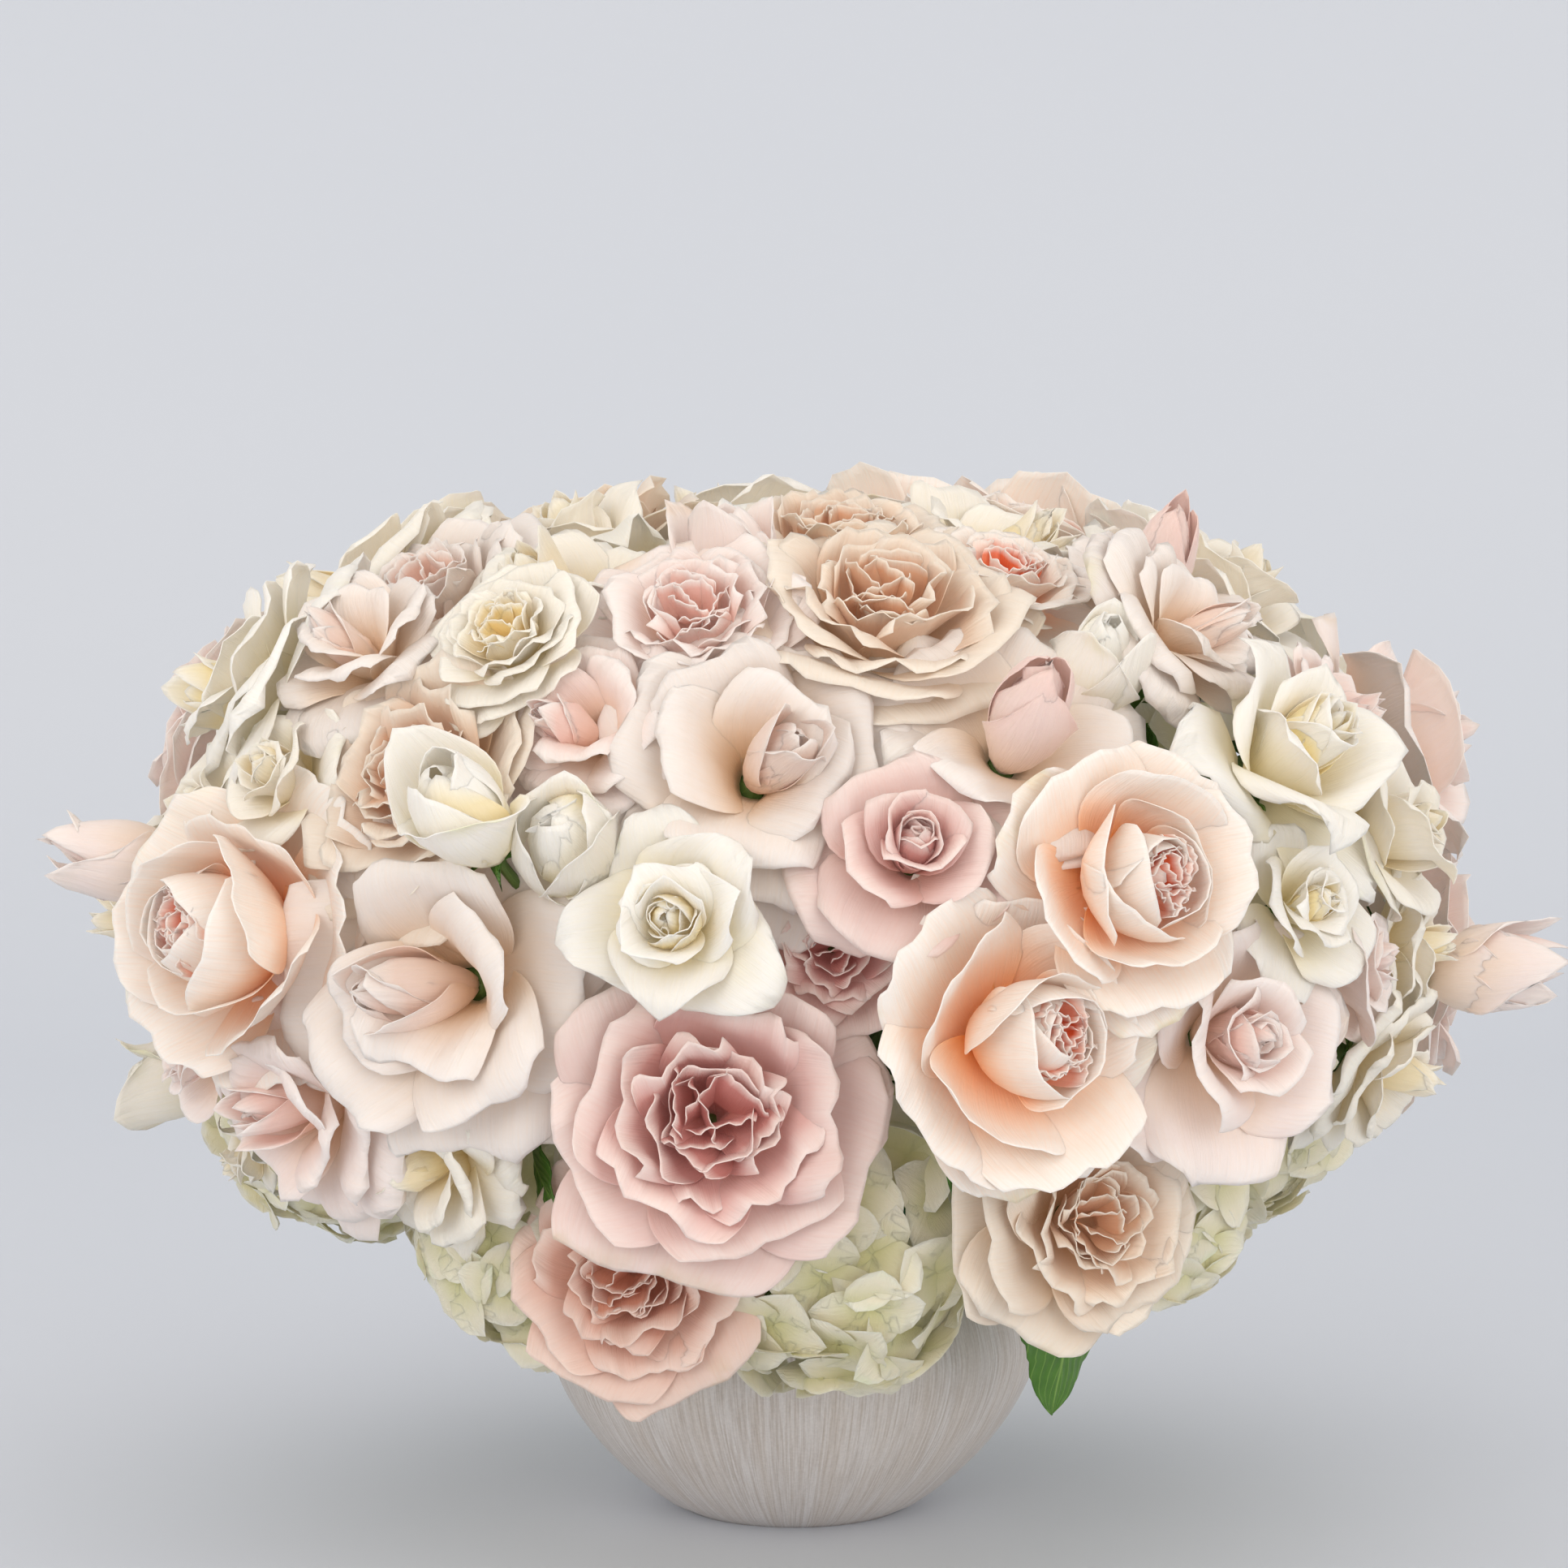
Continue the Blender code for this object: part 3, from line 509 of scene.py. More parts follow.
# The heart of a garden rose: petals folded double and packed in quarters round the middle.
def foldedHeart(folds, blank, rng):
    petals = []
    floor = folds["floor"]
    for i in range(folds["number"]):
        t = (i + 0.5) / folds["number"]
        spread = folds["reach"] * math.sqrt(t)
        lean = folds["lean"] * t
        rise = folds["top"] - floor - 0.05 * t
        p = foldShape | {"base": lean, "mid": lean + rng.normal(0, 4), "tip": lean + rng.normal(0, 8),
                         "lip": rng.uniform(-10, 30), "length": rise / math.cos(math.radians(lean)),
                         "half": folds["half"], "roll": -folds["fold"] * rng.uniform(0.5, 1.1),
                         "floor": floor, "phase": rng.uniform(0, 6.28)}
        points = bendPetal(blank, p, rng)
        turn = goldenTurn * i + rng.normal(0, 0.3)
        facing = turn + rng.choice([-1, 1]) * rng.uniform(0.6, 1.5)
        c, s = math.cos(facing), math.sin(facing)
        x, y = points[:, 0].copy(), points[:, 1].copy()
        points[:, 0] = x * c - y * s + spread * math.cos(turn)
        points[:, 1] = x * s + y * c + spread * math.sin(turn)
        petals.append((points, 0.15 * t))
    return petals


# Petals are bent from a few blanks: finer ones where a flower shows most.
blanks = {"fine": petalBlank("fineBlank", 16, 14), "front": petalBlank("frontBlank", 12, 9),
          "plain": petalBlank("plainBlank", 8, 7), "leaf": petalBlank("leafBlank", 4, 12),
          "sepal": petalBlank("sepalBlank", 2, 5), "floret": petalBlank("floretBlank", 2, 4)}


# A mesh object from points and faces, with its own UV map and marks that its material reads.
def meshObject(name, points, faces, uvs, marks, material):
    data = bpy.data.meshes.new(name)
    data.from_pydata(points.tolist(), [], faces.tolist())
    corners = np.empty(len(data.loops), int)
    data.loops.foreach_get("vertex_index", corners)
    data.uv_layers.new(name="UVMap").data.foreach_set("uv", uvs[corners].ravel())
    for key, values in marks.items():
        data.attributes.new(key, "FLOAT", "POINT").data.foreach_set("value", values)
    data.materials.append(material)
    piece = bpy.data.objects.new(name, data)
    bpy.context.collection.objects.link(piece)
    return piece


def chooseOnly(piece):
    bpy.ops.object.select_all(action="DESELECT")
    piece.select_set(True)
    bpy.context.view_layer.objects.active = piece


def thicken(piece, thickness):
    chooseOnly(piece)
    bpy.ops.object.modifier_add(type="SOLIDIFY")
    wall = piece.modifiers[-1]
    wall.thickness = thickness
    wall.offset = 0
    bpy.ops.object.modifier_apply(modifier=wall.name)
    bpy.ops.object.shade_smooth()


# Many sheets bent from one blank, as one object of closed thin shells.
def sheetObject(name, blank, sheets, layers, rng, material, thickness):
    size = blank["u"].size
    number = len(sheets)
    faces = (blank["faces"][None] + np.arange(number)[:, None, None] * size).reshape(-1, 4)
    uv = np.stack([blank["u"].ravel() / 2 + 0.5, blank["v"].ravel()], axis=-1)
    marks = {"petalLayer": np.repeat(np.array(layers, float), size),
             "petalTone": np.repeat(rng.uniform(0, 1, number), size)}
    piece = meshObject(name, np.concatenate(sheets), faces, np.tile(uv, (number, 1)), marks, material)
    thicken(piece, thickness)
    return piece


# A round stem through the points, with a radius at each.
def tube(name, points, radii, material):
    curve = bpy.data.curves.new(name, "CURVE")
    curve.dimensions = "3D"
    curve.bevel_depth = 1.0
    curve.bevel_resolution = 2
    curve.use_fill_caps = True
    line = curve.splines.new("POLY")
    line.points.add(len(points) - 1)
    for spot, point, radius in zip(line.points, points, radii):
        spot.co = (*point, 1)
        spot.radius = radius
    piece = bpy.data.objects.new(name, curve)
    bpy.context.collection.objects.link(piece)
    chooseOnly(piece)
    bpy.ops.object.convert(target="MESH")
    piece = bpy.context.object
    piece.data.materials.append(material)
    if not piece.data.uv_layers:
        piece.data.uv_layers.new(name="UVMap")
    piece.data.uv_layers[0].name = "UVMap"
    bpy.ops.object.shade_smooth()
    return piece


def joined(name, pieces):
    chooseOnly(pieces[0])
    for piece in pieces:
        piece.select_set(True)
    bpy.ops.object.join()
    whole = bpy.context.object
    whole.name = name
    whole.data.name = name
    return whole


# The turn that stands a flower on its place: its axis along the facing, spun round it.
def standing(facing, spin):
    upright = Vector((0, 0, 1)).rotation_difference(Vector(facing))
    turn = upright @ Matrix.Rotation(spin, 3, "Z").to_quaternion()
    return np.array(turn.to_matrix())


materials = {look: petalMaterial("rosePetal_" + look, colours) for look, colours in petalLooks.items()}
materials["leaf"] = greenMaterial("roseLeaf_waxy", "#5A8A30", "#36601E", "#84A852", 0.42)
materials["stem"] = greenMaterial("roseStem_cut", "#6E8A45", "#4D6A30", "#6E8A45", 0.5)


petalThickness = 0.3 * mm
# Sepals turned down under a flower, in flower radii and degrees, and where they start below its floor.
sepal = {
    "number": 5, "thickness": 0.5 * mm, "below": 0.04,
    "shape": {"base": 62, "lip": 20, "length": 0.62, "half": 0.11, "wrap": 0.2, "roll": 1.0, "shoulder": 0.5,
              "widest": 0.25, "claw": 0.7, "taper": 0.9, "uneven": 0.02},
    "mid": 110, "tip": 140,
}


def sepals(floor, rng):
    sheets = []
    for i in range(sepal["number"]):
        p = sepal["shape"] | {"mid": sepal["mid"] + rng.normal(0, 8), "tip": sepal["tip"] + rng.normal(0, 12),
                              "floor": floor - sepal["below"],
                              "around": 2 * math.pi * i / sepal["number"] + rng.normal(0, 0.1)}
        sheets.append(bendPetal(blanks["sepal"], p, rng))
    return sheets


# Rose leaves are toothed and folded a little along the midrib.
leafBlade = {
    "thickness": 0.6 * mm, "teeth": 13, "bite": 0.07, "fold": 0.16, "wave": 1.2 * mm, "lead": 0.10,
    "spineSteps": 24, "seeds": 200,
    "bladeFrom": 1.6,  # the blade starts where the solid is this many stalk radii wide
    "stalkTip": 0.6,  # the stalk's radius there, as a share of its own
}
# Two leaves stand on the upper stem, close under the flowers.
stemLeaf = {
    "number": 2, "length": 46 * mm, "smallest": 0.8, "largest": 1.15, "width": 15 * mm, "thickness": 0.5 * mm,
    "teeth": 8, "from": 0.62, "to": 0.92, "bend": 0.45, "droop": 0.4, "spineSteps": 12,
}


# Half the blade's width along its length: round near the stalk, then drawn out to the tip.
def leafOutline(rows):
    return np.sin(np.clip(rows, 0, 1) ** 0.72 * np.pi) ** 0.8 * 0.98 + 0.012


# Bends the blade blank along a spine, with its edge cut into teeth that lean towards the tip.
def bendLeaf(blank, spine, across, width, teeth):
    u, v = blank["u"], blank["v"]
    rows = v[:, 0]
    steps = np.linspace(0, 1, len(spine))
    middle = np.stack([np.interp(rows, steps, spine[:, k]) for k in range(3)], axis=-1)
    ways = np.gradient(middle, axis=0)
    ways /= np.linalg.norm(ways, axis=1)[:, None]
    level = across - ways * (ways @ across)[:, None]
    level /= np.linalg.norm(level, axis=1)[:, None]
    normal = np.cross(ways, level)
    tooth = 1 - leafBlade["bite"] * (1 - (rows * teeth) % 1) * np.sin(rows * np.pi) ** 0.3
    half = width * leafOutline(rows) * tooth
    side = u * half[:, None]
    rise = leafBlade["fold"] * np.abs(side) + leafBlade["wave"] * np.sin(v * 21 + u * 2) * np.abs(u) ** 2
    lead = leafBlade["lead"] * half[:, None] * np.abs(u) ** 2
    points = (middle[:, None] + level[:, None] * side[..., None] + normal[:, None] * rise[..., None]
              + ways[:, None] * lead[..., None])
    return points.reshape(-1, 3)


# Leaves along the upper part of a stem's path, each on a curved spine from its foot to its tip.
def stemLeaves(path, facing, rng):
    sheets = []
    for _ in range(stemLeaf["number"]):
        spot = rng.uniform(stemLeaf["from"], stemLeaf["to"]) * (len(path) - 1)
        i = min(int(spot), len(path) - 2)
        foot = path[i] + (path[i + 1] - path[i]) * (spot - i)
        along = unit(path[i + 1] - path[i])
        level = unit(np.cross(along, rng.normal(0, 1, 3)))
        size = stemLeaf["length"] * rng.uniform(stemLeaf["smallest"], stemLeaf["largest"])
        reach = foot + level * size * stemLeaf["bend"] + along * size * stemLeaf["bend"]
        tip = reach + unit(level + facing * stemLeaf["droop"]) * size * 0.5
        t = np.linspace(0, 1, stemLeaf["spineSteps"])[:, None]
        spine = foot * (1 - t) ** 2 + reach * 2 * (1 - t) * t + tip * t ** 2
        across = unit(np.cross(along, level))
        sheets.append(bendLeaf(blanks["leaf"], spine, across, stemLeaf["width"], stemLeaf["teeth"]))
    return sheets


# Each rose or spray: the kind and petal look of each head, largest first, and the blank that it is bent from.
flowers = {
    "rose_mauve_front": ([("garden", "mauve")], "fine"),
    "rose_dusty_low_left": ([("garden", "dusty")], "fine"),
    "rose_cream_peach_front": ([("cupped", "peach")], "fine"),
    "spray_peach_right": ([("cupped", "peach"), ("bud", "cream")], "front"),
    "spray_blush_spiral_right": ([("rounded", "blush"), ("reflexed", "blush")], "front"),
    "rose_beige_low_right": ([("garden", "beige")], "front"),
    "spray_mauve_middle": ([("rounded", "mauve"), ("garden", "mauve")], "front"),
    "rose_white_spiral": ([("spiral", "white")], "fine"),
    "spray_white_middle_left": ([("bud", "white"), ("bud", "white")], "front"),
    "rose_reflexed_middle": ([("reflexed", "blushWhite")], "front"),
    "rose_reflexed_pink_bud": ([("budded", "blushWhite")], "front"),
    "rose_cream_top": ([("garden", "beige")], "front"),
    "spray_beige_top": ([("garden", "beige"), ("bud", "blush")], "front"),
    "spray_peach_top_right": ([("garden", "peach"), ("bud", "white")], "front"),
    "rose_blush_bud_top_right": ([("budded", "blushWhite")], "front"),
    "spray_blush_fold_right": ([("reflexed", "blushWhite"), ("reflexed", "blush")], "front"),
    "rose_white_right": ([("spiral", "white")], "front"),
    "rose_cream_right": ([("rounded", "cream")], "front"),
    "spray_blush_right": ([("rounded", "blush"), ("rounded", "white")], "front"),
    "spray_cream_far_right": ([("reflexed", "cream"), ("slender", "blush")], "front"),
    "rose_drooping_right": ([("reflexed", "cream")], "front"),
    "spray_pink_upper": ([("garden", "blush"), ("reflexed", "blush")], "front"),
    "rose_cream_top_left": ([("reflexed", "cream")], "front"),
    "rose_blush_top_left": ([("garden", "blushWhite")], "front"),
    "spray_blush_left": ([("reflexed", "blushWhite"), ("garden", "cream")], "front"),
    "rose_white_back_left": ([("reflexed", "white")], "front"),
    "rose_beige_left": ([("garden", "beige")], "front"),
    "spray_cream_left": ([("rounded", "cream"), ("rounded", "cream")], "front"),
    "rose_peach_left": ([("cupped", "peach")], "fine"),
    "rose_reflexed_left": ([("reflexed", "blushWhite")], "fine"),
    "spray_blush_low_left": ([("reflexed", "blush"), ("spiral", "cream")], "front"),
    "rose_cream_low_left": ([("reflexed", "cream")], "front"),
    "spray_pink_far_left": ([("rounded", "blush"), ("bud", "cream")], "front"),
    "spray_dusty_bud_left": ([("reflexed", "cream"), ("slender", "blush")], "front"),
    "spray_blush_side_right": ([("garden", "blush"), ("rounded", "blush")], "plain"),
    "spray_cream_side_right": ([("rounded", "cream"), ("reflexed", "cream")], "plain"),
    "spray_white_back_right": ([("reflexed", "white"), ("rounded", "white"), ("garden", "white")], "plain"),
    "spray_beige_back_low": ([("garden", "beige"), ("rounded", "beige")], "plain"),
    "spray_peach_back_top": ([("cupped", "peach"), ("garden", "peach"), ("cupped", "peach")], "plain"),
    "spray_blush_back": ([("reflexed", "blush"), ("rounded", "blush")], "plain"),
    "spray_white_crown": ([("garden", "white"), ("reflexed", "white"), ("spiral", "white")], "plain"),
    "spray_peach_back_low": ([("cupped", "peach"), ("garden", "peach")], "plain"),
    "spray_beige_back_left": ([("rounded", "beige"), ("garden", "beige"), ("garden", "beige")], "plain"),
    "spray_blush_side_left": ([("rounded", "blush"), ("garden", "blush")], "plain"),
    "spray_cream_side_left": ([("garden", "cream"), ("reflexed", "cream"), ("spiral", "cream")], "plain"),
}


# A bud's core has a flat crown under this radius. A wider one belongs to a core with an open flower's shape.
smallCrown = 9 * mm


# Which head stands on the main stem: the one whose stem runs through the solid's own points.
def mainHead(node, start, way, crowns, necks):
    points = solidMesh(node)[0]

    def miss(k):
        path = curvePath(start, way, necks[k], crowns[k][1], 4)
        return sum(np.linalg.norm(points - path[i], axis=1).min() for i in (1, 3))

    return min(range(len(crowns)), key=miss)


# The bud in the heart of an open rose: a whole bud, squeezed to the radius and height that it is given.
def innerBud(bud, blank, rng):
    shape = roseKinds["bud"] | {key: value for key, value in bud.items() if key in steppedShape}
    floor = shape["floor"]
    budTop = 0.15
    height = (bud["height"] - roseKinds["reflexed"]["floor"]) / (budTop - floor)
    stretch = np.array([bud["radius"], bud["radius"], height])
    base = np.array([0, 0, roseKinds["reflexed"]["floor"] - floor * height])
    return [(points * stretch + base, 0.3 * layer) for points, layer in rosePetals(shape, blank, rng)]


# One flower: its petals, the bud in its heart where its kind has one, and its sepals.
def makeHead(node, kind, look, detail, crown, facing, radius, rng):
    shape = roseKinds[kind]
    floor = shape["floor"]
    turn = standing(facing, rng.uniform(0, 2 * math.pi))
    # Hearts heel over sideways, away from the middle of the arrangement.
    outward = unit(turn[0, :2]) * math.copysign(1, facing[0])
    petals = rosePetals(shape, blanks[detail], rng, (-turn[2, 0], -turn[2, 1]))
    whorls = [(look, blanks[detail], heelOver(petals, floor, outward, shape.get("heel", 0)))]
    if "bud" in shape:
        bud = shape["bud"]
        budBlank = blanks[bud.get("blank", detail)]
        heart = heelOver(innerBud(bud, budBlank, rng), floor, outward, bud.get("heel", 0))
        whorls.append((bud.get("look", look), budBlank, heart))
    pieces = []
    for colour, blank, petals in whorls:
        sheets = [points * radius @ turn.T + crown for points, layer in petals]
        layers = [layer for points, layer in petals]
        pieces.append(sheetObject(node + "_petals", blank, sheets, layers, rng, materials[colour],
                                  petalThickness))
    green = [points * radius @ turn.T + crown for points in sepals(floor, rng)]
    pieces.append(sheetObject(node + "_sepals", blanks["sepal"], green, [1] * len(green), rng,
                              materials["leaf"], sepal["thickness"]))
    return pieces


# A stem swells into the hip under its flower: heights above the flower's floor and radii, in flower radii.
hip = {"rise": (-0.14, -0.08, -0.03, 0.02), "radii": (0.10, 0.13, 0.07), "neck": 1.2}


def makeRose(node, heads, detail, seed):
    rng = np.random.default_rng(seed)
    *crowns, foot = flatEnds(node)
    entryWay = -foot[1]
    start = foot[0] + entryWay * (stems["depth"] + stems["exit"])
    sizes, necks = [], []
    for (kind, look), (crown, facing, flat) in zip(heads, crowns):
        core = cores["bud" if kind in ("bud", "slender") and flat < smallCrown else "open"]
        coreRadius = flat / core["crown"]
        sizes.append(coreRadius / core["share"])
        necks.append(crown - facing * (coreRadius * core["length"] + stems["neck"]))
    main = mainHead(node, start, entryWay, crowns, necks)
    mainPath = curvePath(start, entryWay, necks[main], crowns[main][1], stems["steps"])
    half = stems["steps"] // 2
    fork = mainPath[half]
    forkWay = unit(mainPath[half + 1] - mainPath[half - 1])

    pieces = []
    for k, ((kind, look), (crown, facing, flat), radius, neck) in enumerate(zip(heads, crowns, sizes, necks)):
        pieces += makeHead(node, kind, look, detail, crown, facing, radius, rng)
        if k == main:
            stemRadius = stems["roseRadius"]
            path = np.concatenate([[foot[0]], mainPath])
        else:
            stemRadius = stems["shootRadius"]
            path = curvePath(fork, unit(forkWay + unit(neck - fork)), neck, facing, 8)
        top = [crown + facing * radius * (roseKinds[kind]["floor"] + rise) for rise in hip["rise"]]
        radii = [stemRadius] * len(path) + [stemRadius * hip["neck"], *(radius * r for r in hip["radii"])]
        pieces.append(tube(node + "_stem", list(path) + top, radii, materials["stem"]))
    leaves = stemLeaves(mainPath, crowns[main][1], rng)
    pieces.append(sheetObject(node + "_leaves", blanks["leaf"], leaves, [1] * len(leaves), rng,
                              materials["leaf"], stemLeaf["thickness"]))
    whole = joined("flower_" + node, pieces)
    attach(whole, "root")
    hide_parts(node)


for seed, (node, (heads, detail)) in enumerate(flowers.items(), start=1):
    makeRose(node, heads, detail, seed)
print("roses made:", len(flowers))

# Hydrangea: pale florets of four broad petals on thin stalks, crowded over a ball.
hydrangea = {
    "number": 56, "petals": 4, "floret": 20 * mm, "smallest": 0.86, "largest": 1.12, "lens": 0.7 * mm,
    "petalHalf": 0.54,  # half a petal's width, as a share of its length
    "lean": 0.22, "stalk": 0.8 * mm, "stalkFoot": 1.28 * mm, "sunk": 1.5 * mm, "seeds": 100,
    "ballBack": 0.92,  # the ball's middle lies this many core radii behind the crown
    "cover": 118,  # and the florets cover it this many degrees down from its top
    "outermost": 0.98, "depth": 0.10, "stalkFrom": 0.35,  # where florets and stalks stand, in flower radii
}
# The florets take the same faint painted glow as the rose petals.
materials["hydrangea"] = petalMaterial("hydrangeaPetal_pale", {
    "body": "#EFE9D2", "claw": "#D8D4A0", "rim": "#F3F0E2", "heart": "#EEF0DC", "reach": 0.1, "fade": 0.0,
    "stain": "#DDE4BE"})


# One floret facing +Z at its stalk's end: each petal is a thin lens whose two skins meet at the rim.
def floretModel(blank, rng):
    u, v = blank["u"], blank["v"]
    inner = (np.abs(u) < 0.99) & (v > 0.01) & (v < 0.99)
    size = u.size
    ring = ~inner.ravel()
    upper = np.arange(size)
    lower = np.where(ring, upper, upper + size)
    points, faces, uvs = [], [], []
    for k in range(hydrangea["petals"]):
        outline = np.sin(np.clip(v * 0.80 + 0.10, 0, 1) * np.pi) ** 0.6
        half = hydrangea["petalHalf"] * outline * (0.92 + 0.16 * rng.uniform())
        along = v * (1 - 0.12 * np.abs(u) ** 2)
        lift = 0.22 * v - 0.26 * v ** 2 + 0.07 * u ** 2 * v + 0.03 * np.sin(3 * u + 4 * v + k)
        lift = lift + rng.normal(0, 0.04) * v
        shell = np.stack([along, u * half, lift], axis=-1).reshape(-1, 3)
        under = shell.copy()
        thick = hydrangea["lens"] / hydrangea["floret"] / 2
        shell[inner.ravel(), 2] += thick
        under[inner.ravel(), 2] -= thick
        turn = 2 * math.pi * k / hydrangea["petals"] + rng.normal(0, 0.08)
        c, s = math.cos(turn), math.sin(turn)
        both = np.concatenate([shell, under])
        both = np.stack([both[:, 0] * c - both[:, 1] * s, both[:, 0] * s + both[:, 1] * c,
                         both[:, 2] + 0.02 * (k % 2)], axis=-1)
        offset = k * 2 * size
        points.append(both)
        faces.append(upper[blank["faces"]] + offset)
        faces.append(lower[blank["faces"]][:, ::-1] + offset)
        uv = np.stack([u.ravel() / 2 + 0.5, v.ravel()], axis=-1)
        uvs.extend([uv, uv])
    return np.concatenate(points) * hydrangea["floret"], np.concatenate(faces), np.concatenate(uvs)


def makeHydrangea(node, seed):
    rng = np.random.default_rng(seed)
    (crown, facing, flat), foot = flatEnds(node)
    coreRadius = flat / cores["hydrangea"]["crown"]
    radius = coreRadius / cores["hydrangea"]["share"]
    neck = crown - facing * (coreRadius * cores["hydrangea"]["length"] + stems["neck"])
    entryWay = -foot[1]
    start = foot[0] + entryWay * (stems["depth"] + stems["exit"])
    path = curvePath(start, entryWay, neck, facing, 10)
    heart = crown - facing * coreRadius * hydrangea["ballBack"]
    turn = standing(facing, 0)
    number = hydrangea["number"]
    points, faces, uvs = floretModel(blanks["floret"], rng)
    allPoints, allFaces, tones = [], [], []
    stalks = []
    for i in range(number):
        # Even steps of height on the ball, turned by the golden angle, are evenly spaced over it.
        share = (i + 0.5) / number
        upright = 1 - share * (1 - math.cos(math.radians(hydrangea["cover"])))
        level = math.sqrt(max(0.0, 1 - upright ** 2))
        around = goldenTurn * i + rng.normal(0, 0.15)
        way = turn @ np.array([level * math.cos(around), level * math.sin(around), upright])
        out = radius * (hydrangea["outermost"] - hydrangea["depth"] * rng.uniform())
        lean = unit(way + rng.normal(0, hydrangea["lean"], 3))
        spin = standing(lean, rng.uniform(0, 2 * math.pi))
        scale = rng.uniform(hydrangea["smallest"], hydrangea["largest"])
        allPoints.append(points * scale @ spin.T + heart + way * out)
        allFaces.append(faces + i * len(points))
        tones.append(rng.uniform())
        stalks.append((heart + way * out * hydrangea["stalkFrom"], heart + way * (out - hydrangea["sunk"])))
    florets = meshObject(node + "_florets", np.concatenate(allPoints), np.concatenate(allFaces),
                         np.tile(uvs, (number, 1)),
                         {"petalLayer": np.ones(number * len(points)),
                          "petalTone": np.repeat(tones, len(points))}, materials["hydrangea"])
    chooseOnly(florets)
    bpy.ops.object.mode_set(mode="EDIT")
    bpy.ops.mesh.select_all(action="SELECT")
    bpy.ops.mesh.delete_loose()
    bpy.ops.mesh.normals_make_consistent(inside=False)
    bpy.ops.object.mode_set(mode="OBJECT")
    bpy.ops.object.shade_smooth_by_angle(angle=math.radians(60))
    pieces = [florets] + [stalkObject(low, high, materials["stem"]) for low, high in stalks]
    radii = [stems["hydrangeaRadius"]] * (len(path) + 1) + [stems["hydrangeaRadius"] * 1.1] * 2
    top = [neck + (heart - neck) * 0.5, heart]
    pieces.append(tube(node + "_stem", [foot[0], *path, *top], radii, materials["stem"]))
    whole = joined("flower_" + node, pieces)
    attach(whole, "root")
    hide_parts(node)


# A floret's stalk: a three-sided cone that widens towards the head's middle.
def stalkObject(low, high, material):
    way = Vector(high - low)
    bpy.ops.object.select_all(action="DESELECT")
    bpy.ops.mesh.primitive_cone_add(vertices=3, radius1=hydrangea["stalkFoot"], radius2=hydrangea["stalk"],
                                    depth=way.length, location=Vector((high + low) / 2),
                                    rotation=Vector((0, 0, 1)).rotation_difference(way).to_euler())
    stalk = bpy.context.object
    bpy.ops.object.transform_apply(location=True, rotation=True, scale=True)
    stalk.data.materials.append(material)
    return stalk


for number, node in enumerate(sorted(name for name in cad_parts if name.startswith("hydrangea"))):
    makeHydrangea(node, hydrangea["seeds"] + number)
print("hydrangeas made")

# Leaves: a thin serrated blade on a stalk, along the middles of the solid leaf's own rings.
blanks["blade"] = petalBlank("bladeBlank", 8, 52)


# The rings of a solid leaf from its foot to its tip: the middle, the half width and the way across of each.
def leafRings(node):
    points, faces = solidMesh(node)
    near = [set() for _ in points]
    for face in faces.tolist():
        for a in face:
            near[a].update(face)
    foot = min(flatEnds(node), key=lambda end: end[0][2])
    ring = {int(i) for i in np.argsort(np.linalg.norm(points - foot[0], axis=1))[:8]}
    seen, rings = set(), []
    while ring:
        here = points[sorted(ring)]
        middle = here.mean(axis=0)
        away = here - middle
        widest = away[np.argmax(np.linalg.norm(away, axis=1))]
        rings.append((middle, np.linalg.norm(widest), widest))
        seen |= ring
        ring = set().union(*(near[i] for i in ring)) - seen
    return rings, foot


# A smooth curve through points, read at even steps.
def smoothThrough(points, steps):
    points = np.array(points)
    lengths = np.concatenate([[0], np.cumsum(np.linalg.norm(np.diff(points, axis=0), axis=1))])
    spots = np.linspace(0, lengths[-1], steps)
    fits = [np.polynomial.Polynomial.fit(lengths, points[:, k], min(4, len(points) - 1)) for k in range(3)]
    return np.stack([fit(spots) for fit in fits], axis=-1)


def makeLeaf(node, seed):
    rng = np.random.default_rng(seed)
    rings, foot = leafRings(node)
    middles = [ring[0] for ring in rings]
    widths = np.array([ring[1] for ring in rings])
    first = int(np.argmax(widths > stems["shootRadius"] * leafBlade["bladeFrom"]))
    stalk = [foot[0]] + middles[1:first + 1]
    spine = smoothThrough(middles[first - 1:], leafBlade["spineSteps"])
    across = unit(rings[int(np.argmax(widths))][2])
    sheet = bendLeaf(blanks["blade"], spine, across, widths.max(), leafBlade["teeth"])
    blade = sheetObject(node + "_blade", blanks["blade"], [sheet], [1], rng, materials["leaf"],
                        leafBlade["thickness"])
    radii = [stems["shootRadius"]] * (len(stalk) - 1) + [stems["shootRadius"] * leafBlade["stalkTip"]]
    whole = joined("foliage_" + node, [blade, tube(node + "_stalk", stalk, radii, materials["stem"])])
    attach(whole, "root")
    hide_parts(node)


for number, node in enumerate(sorted(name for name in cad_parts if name.startswith("leaf_"))):
    makeLeaf(node, leafBlade["seeds"] + number)
print("leaves made")

# Bowl: the turned outline of the solid bowl in finer steps, fired matt with combed glaze.
bowl = {
    "radius": 94.5 * mm, "widest": 67 * mm, "curve": 82 * mm, "power": 1.65, "rim": 96 * mm, "wall": 5.5 * mm,
    "floor": 8 * mm, "corners": 128, "rows": 26, "footRound": 1.6 * mm,
}


def bowlOutline(height):
    return bowl["radius"] * (1 - abs((height - bowl["widest"]) / bowl["curve"]) ** bowl["power"]) ** (
        1 / bowl["power"])


